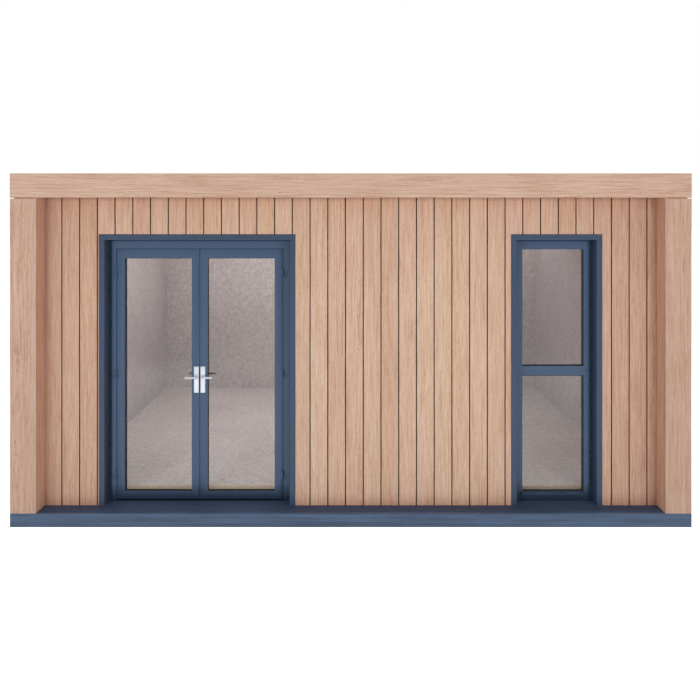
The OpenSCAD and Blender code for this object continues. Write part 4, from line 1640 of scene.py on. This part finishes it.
@dataclass
class DoorSet:
    """The rebated door frame, its threshold, the hinges and the pair of leaves."""

    finishes: Finishes
    middle: float = -1.205
    half: float = 0.725
    head: float = 2.187
    foot: float = 0.105
    jamb: float = 0.058
    head_member: float = 0.068
    front: float = -1.572
    stop_front: float = -1.522
    stop_back: float = -1.507
    stop_lap: float = 0.022
    stop_foot: float = 0.175
    ease: float = 0.002
    hinge_y: float = -1.581
    hinge_x: Pair = (-1.868, -0.542)
    hinge_heights: tuple[float, ...] = (0.313, 1.117, 1.921)
    hinge_half: float = 0.034
    knuckle: float = 0.007
    flag: float = 0.028
    flag_thick: float = 0.004
    flag_corner: float = 0.003
    flag_ease: float = 0.0008
    knuckle_ease: float = 0.0010
    knuckle_gap: float = 0.0003
    screw: Pair = (0.0036, 0.0013)
    screw_out: float = 0.66
    screw_shares: Pair = (0.24, 0.76)
    screw_sink: float = 0.0004
    stop_ease: float = 0.0015
    stop_tuck: float = 0.001
    # Painted shade: the dark bead is widest on the left jamb, where shade falls in the corner.
    bead: Triple = (0.022, 0.010, 0.008)
    crisp_above: float = 50.0
    spindles: Pair = (-1.231, -1.179)
    # Painted shade: the gasket laps farther on the left of the left leaf's glass and at the bottom of
    # both.
    shade_lips: tuple[Four, ...] = (
        (0.006, 0.0, 0.002, 0.0), (0.0, 0.0, 0.002, 0.0),
    )
    leaf_edges: tuple[Pair, ...] = ((-1.864, -1.209), (-0.546, -1.201))

    def build(self) -> None:
        """Makes the frame, the hinges and the leaves."""
        self.build_frame()
        dress(self.finishes.threshold, "door_threshold")
        self.build_hinges()
        glazing = Glazing()
        for side, sign, edges, spindle, shade_lips in zip(
            ("left", "right"), (-1.0, 1.0), self.leaf_edges, self.spindles, self.shade_lips,
        ):
            DoorLeaf(self.finishes, glazing, side, sign, *edges, spindle, shade_lips).build()

    def build_frame(self) -> None:
        """Carries two sections up, over and down: the frame, and the stop behind the leaves."""
        shell = Shell(81)
        turn = quarter(4)
        inner = self.half - self.jamb
        low = (self.middle - inner, self.foot)
        high = (self.middle + inner, self.head - self.head_member)
        widths = (self.jamb, self.jamb, self.head_member)
        reach = np.concatenate([[1.0], np.zeros(4), [0.0, 1.0]])
        offset = np.concatenate([[0.0], self.ease * (1 - np.cos(turn[::-1])), [0.0, 0.0]])
        depth = np.concatenate([
            [self.front], self.front + self.ease * (1 - np.sin(turn[::-1])),
            [self.stop_back, self.stop_back]])
        shell.stacks(arched(low, high, widths, reach, offset, depth)[None])
        soft, tuck = self.stop_ease, self.stop_tuck
        stop_off = np.concatenate([
            [tuck], -self.stop_lap + soft * (1 - np.cos(turn[::-1])), [-self.stop_lap, tuck]])
        stop_deep = np.concatenate([
            [self.stop_front], self.stop_front + soft * (1 - np.sin(turn[::-1])),
            [self.stop_back - 0.0002, self.stop_back - 0.0002]])
        foot = (low[0], self.stop_foot)
        shell.stacks(arched(foot, high, widths, np.zeros(7), stop_off, stop_deep)[None])
        shell.piece("door_frame_members", SHELL, "paint", self.finishes.frame_paint, ("door_frame",))
        bead = Shell(85)
        sealant_shade(
            bead, (self.middle - self.half, self.foot), (self.middle + self.half, self.head), self.front,
            self.bead)
        bead.piece("door_frame_sealant", SHELL, "paint", self.finishes.sealant_shade)

    def build_hinges(self) -> None:
        """Makes each hinge: a turned knuckle and a rounded flag with two screws, above and below."""
        frame_side, left, right = Shell(82), Shell(83), Shell(84)
        for side, x in enumerate(self.hinge_x):
            way = -1.0 if side == 0 else 1.0
            for z in self.hinge_heights:
                self.hinge_part(frame_side, x, z - self.hinge_half, way)
                self.hinge_part(left if side == 0 else right, x, z, -way)
        for shell, name, body, node in (
            (frame_side, "jamb_hinges", SHELL, "frame_hinges"),
            (left, "left_leaf_hinges", "left_door", "left_door_hinges"),
            (right, "right_leaf_hinges", "right_door", "right_door_hinges"),
        ):
            shell.piece(name, body, "hinge_metal", self.finishes.frame_paint, (node,), self.crisp_above)

    def hinge_part(self, shell: Shell, x: float, low: float, way: float) -> None:
        """Adds one half of a hinge.

        Args:
            shell: the piece.
            x: the axis.
            low: the lower end of the knuckle.
            way: -1 for a flag to the left of the axis, 1 for one to the right.
        """
        tall = self.hinge_half - self.knuckle_gap
        ease = self.knuckle_ease
        radius = np.array([self.knuckle - ease, self.knuckle, self.knuckle, self.knuckle - ease])
        height = np.array([0.0, ease, tall - ease, tall])
        axis = Lay(X, Z, Y, (x, self.hinge_y, low))
        shell.stacks(turned(axis, radius, height)[None])
        half = (self.flag / 2, tall / 2)
        face = Lay(X, Z, FORE, (x + way * self.flag / 2, self.front, low + tall / 2))
        shell.stacks(padded_slab(face, half, self.flag_thick, self.flag_corner, self.flag_ease)[None])
        for share in self.screw_shares:
            spot = (x + way * self.flag * self.screw_out, self.front - self.flag_thick + self.screw_sink,
                    low + tall * share)
            screw_head(shell, spot, -1.0, self.screw, 4, 16)


@dataclass
class WindowSet:
    """The fixed window: a frame with a transom, two glazing units and a weather bar."""

    finishes: Finishes
    glazing: Glazing = field(default_factory=Glazing)
    middle: float = 1.615
    half: float = 0.312
    foot: float = 0.105
    head: float = 2.187
    jamb: float = 0.067
    top: float = 0.075
    bottom: float = 0.072
    transom_mid: float = 1.1415
    transom: float = 0.074
    bar_high: float = 0.016
    bar_deep: float = 0.024
    bar_lap: float = 0.012
    bar_nose: float = 0.003
    bar_tuck: float = 0.001
    outer_ease: float = 0.00005
    # Painted shade: the gaskets lap farther on the right and at the bottom of each pane, and at the top of
    # the lower one.
    lower_shade_lips: Four = (0.0, 0.007, 0.003, 0.005)
    upper_shade_lips: Four = (0.0, 0.007, 0.004, 0.0)
    # Painted shade: the dark bead is widest on the right jamb, where shade falls in the corner.
    bead: Triple = (0.010, 0.022, 0.008)

    def build(self) -> None:
        """Makes the frame, the weather bar and the gaskets, and dresses the glass."""
        shell, seals = Shell(91), Shell(92)
        left = self.middle - self.half + self.jamb
        right = self.middle + self.half - self.jamb
        split = self.transom / 2
        reach, offset, depth = self.glazing.frame(self.outer_ease)
        for low, high, widths, shade_lips in (
            ((left, self.foot + self.bottom), (right, self.transom_mid - split),
             (self.jamb, self.jamb, self.bottom, split), self.lower_shade_lips),
            ((left, self.transom_mid + split), (right, self.head - self.top),
             (self.jamb, self.jamb, split, self.top), self.upper_shade_lips),
        ):
            shell.loop(mitred(low, high, widths, reach, offset, depth))
            self.glazing.seals(seals, low, high, shade_lips)
        self.weather_bar(shell, left, right)
        shell.piece("window_frame_members", SHELL, "paint", self.finishes.frame_paint, ("window_frame",))
        seals.piece("window_gaskets", SHELL, "paint", self.finishes.gasket)
        bead, edge = Shell(93), self.half
        sealant_shade(
            bead, (self.middle - edge, self.foot), (self.middle + edge, self.head), self.glazing.front,
            self.bead)
        bead.piece("window_frame_sealant", SHELL, "paint", self.finishes.sealant_shade)
        dress(self.finishes.glass, "window_glass")

    def weather_bar(self, shell: Shell, left: float, right: float) -> None:
        """Carries the bar's section along the foot of the lower pane: a slope, a nose and a flat."""
        high = self.foot + self.bottom
        face = self.glazing.front
        turn, nose, inside = quarter(4), self.bar_nose, face + self.bar_tuck
        deep = np.concatenate([
            [inside, face, face - self.bar_deep + 0.002],
            face - self.bar_deep + nose * (1 - np.sin(turn))[::-1], [inside]])
        up = np.concatenate([
            [high - 0.0005, high - 0.0005, high - self.bar_high + 0.0085],
            high - self.bar_high + nose * (1 - np.cos(turn))[::-1], [high - self.bar_high]])
        ends = np.array([left - self.bar_lap, right + self.bar_lap])[:, None]
        rings = np.stack(np.broadcast_arrays(ends, deep[None], up[None]), axis=-1)
        shell.stacks(rings[None])


@dataclass
class Room:
    """Wall panels, ceiling and floor of the room, and the timber sills inside the frames."""

    finishes: Finishes
    low: float = 0.105
    high: float = 0.175
    back: float = -1.440
    door_sill: Triple = (-1.872, -0.538, -1.522)
    window_sill: Triple = (1.303, 1.927, -1.528)
    ease: float = 0.003
    steady: Triple = (0.01, 0.01, 0.01)

    def build(self) -> None:
        """Makes the sills and dresses the linings of the room."""
        dress(self.finishes.plaster, "front_wall_left", "front_wall_middle", "front_wall_right",
              "front_wall_heads", "left_wall", "right_wall", "ceiling")
        dress(self.finishes.back_plaster, "back_wall")
        dress(self.finishes.floor, "floor_finish")
        shell = Shell(95)
        lay = Lay(Y, X, DOWN, (0, 0, self.high))
        for left, right, front in (self.door_sill, self.window_sill):
            row = BoardRow(lay, self.high - self.low, self.ease, tint_spread=self.steady)
            row.build(shell, np.array([[front, self.back]]), np.array([[left, right]]))
        shell.piece("sill_boards", SHELL, "sill_timber", self.finishes.sill, ("inner_sills",))


@dataclass
class Studio:
    """The pale floor, the soft light and the camera."""

    camera_at: Triple = (0.0, -6.67, 2.344)
    lens: float = 32.85
    shift: Pair = (-0.0011, -0.1857)
    sky: float = 0.42
    floor_glow: float = 1.0
    floor_half: float = 160.0
    side_at: Triple = (3.5, -6.35, 2.5)
    side_aim: Triple = (-1.6, -1.6, 1.0)
    side_size: float = 1.8
    side_power: float = 118.0
    flank_at: Triple = (7.8, 1.2, 3.4)
    flank_aim: Triple = (0.0, 0.4, 1.3)
    flank_power: float = 210.0
    rear_at: Triple = (0.0, 8.4, 3.4)
    rear_aim: Triple = (0.0, 0.0, 1.3)
    rear_power: float = 260.0
    far_size: Pair = (3.0, 3.0)
    room_power: float = 46.3
    room_size: Pair = (3.0, 2.8)
    room_middle: Pair = (-0.55, -0.14)
    corner_at: Pair = (1.9, 1.0)
    corner_size: Pair = (0.8, 0.8)
    corner_power: float = 2.8
    room_height: float = 2.375

    def build(self) -> None:
        """Sets up the floor, the world, the lights and the camera."""
        scene = bpy.context.scene
        scene.view_settings.view_transform = "Standard"
        scene.view_settings.look = "None"
        self.world(scene)
        self.floor()
        self.lights()
        self.camera(scene)

    def world(self, scene: bpy.types.Scene) -> None:
        """Surrounds the pod with soft light, and shows white behind it."""
        world = bpy.data.worlds.new("studio")
        scene.world = world
        world.use_nodes = True
        nodes, links = world.node_tree.nodes, world.node_tree.links
        back = nodes["Background"]
        back.inputs["Color"].default_value = (1.0, 1.0, 1.0, 1.0)
        seen = nodes.new("ShaderNodeMapRange")
        seen.inputs["To Min"].default_value = self.sky
        seen.inputs["To Max"].default_value = 1.0
        links.new(nodes.new("ShaderNodeLightPath").outputs["Is Camera Ray"], seen.inputs["Value"])
        links.new(seen.outputs[0], back.inputs["Strength"])

    def floor(self) -> None:
        """Lays a wide pale floor, a flat grid at ground level that lets the soft light through."""
        span = np.linspace(-self.floor_half, self.floor_half, 5)
        wide, deep = np.meshgrid(span, span, indexing="ij")
        points = np.stack([wide, deep, np.zeros_like(wide)], axis=-1).reshape(-1, 3)
        faces = grid_cells(np.arange(wide.size).reshape(wide.shape))
        mesh = bpy.data.meshes.new("studio_floor")
        mesh.from_pydata(points.tolist(), [], faces.tolist())
        item = bpy.data.objects.new("studio_floor", mesh)
        bpy.context.scene.collection.objects.link(item)
        graph = Graph("studio_floor")
        mesh.materials.append(graph.surface({
            "Base Color": (0.80, 0.80, 0.80, 1.0), "Roughness": 0.9, "Specular IOR Level": 0.0,
            "Emission Color": (1.0, 1.0, 1.0, 1.0), "Emission Strength": self.floor_glow,
        }))
        item.visible_diffuse = False
        item.visible_shadow = False

    @staticmethod
    def soft_light(
        name: str, place: Triple, aim: Triple,
        size: Pair, power: float,
    ) -> None:
        """Hangs a soft light that neither the camera nor a reflection shows.

        Args:
            name: its name.
            place: its middle.
            aim: the point that it faces.
            size: its width and its height.
            power: watts.
        """
        data = bpy.data.lights.new(name, "AREA")
        data.shape = "RECTANGLE"
        data.size, data.size_y = size
        data.energy = power
        item = bpy.data.objects.new(name, data)
        item.location = place
        item.rotation_euler = (Vector(aim) - Vector(place)).to_track_quat("-Z", "Y").to_euler()
        item.visible_camera = False
        item.visible_glossy = False
        bpy.context.scene.collection.objects.link(item)

    def lights(self) -> None:
        """Hangs two lights below the room's ceiling, two in front, and one beside each other wall."""
        for name, spot, size, power in (
            ("room_light", self.room_middle, self.room_size, self.room_power),
            ("corner_light", self.corner_at, self.corner_size, self.corner_power),
        ):
            self.soft_light(name, (*spot, self.room_height), (*spot, 0.0), size, power)
        for name, sign in (("left_light", -1.0), ("right_light", 1.0)):
            place = (sign * self.side_at[0], *self.side_at[1:])
            aim = (sign * self.side_aim[0], *self.side_aim[1:])
            self.soft_light(name, place, aim, (self.side_size, self.side_size), self.side_power)
            place = (sign * self.flank_at[0], *self.flank_at[1:])
            self.soft_light(name + "_flank", place, self.flank_aim, self.far_size, self.flank_power)
        self.soft_light("rear_light", self.rear_at, self.rear_aim, self.far_size, self.rear_power)

    def camera(self, scene: bpy.types.Scene) -> None:
        """Stands the camera level in front of the pod, with the photograph's framing."""
        data = bpy.data.cameras.new("camera")
        data.sensor_width = 36.0
        data.lens = self.lens
        data.shift_x, data.shift_y = self.shift
        data.clip_end = 500.0
        item = bpy.data.objects.new("camera", data)
        item.location = self.camera_at
        item.rotation_euler = (math.pi / 2, 0.0, 0.0)
        scene.collection.objects.link(item)
        scene.camera = item


def main() -> None:
    """Builds the studio and every sub-assembly in order."""
    Studio().build()
    finishes = Finishes()
    Base(finishes).build()
    Room(finishes).build()
    Cladding(finishes).build()
    Wings(finishes).build()
    Fascia(finishes).build()
    Roof(finishes).build()
    Surround(finishes, "door_lining", "door_surround", -1.205, 0.725, 61).build()
    Surround(finishes, "window_lining", "window_surround", 1.615, 0.312, 62).build()
    DoorSet(finishes).build()
    WindowSet(finishes).build()


if __name__ == "__main__":
    main()
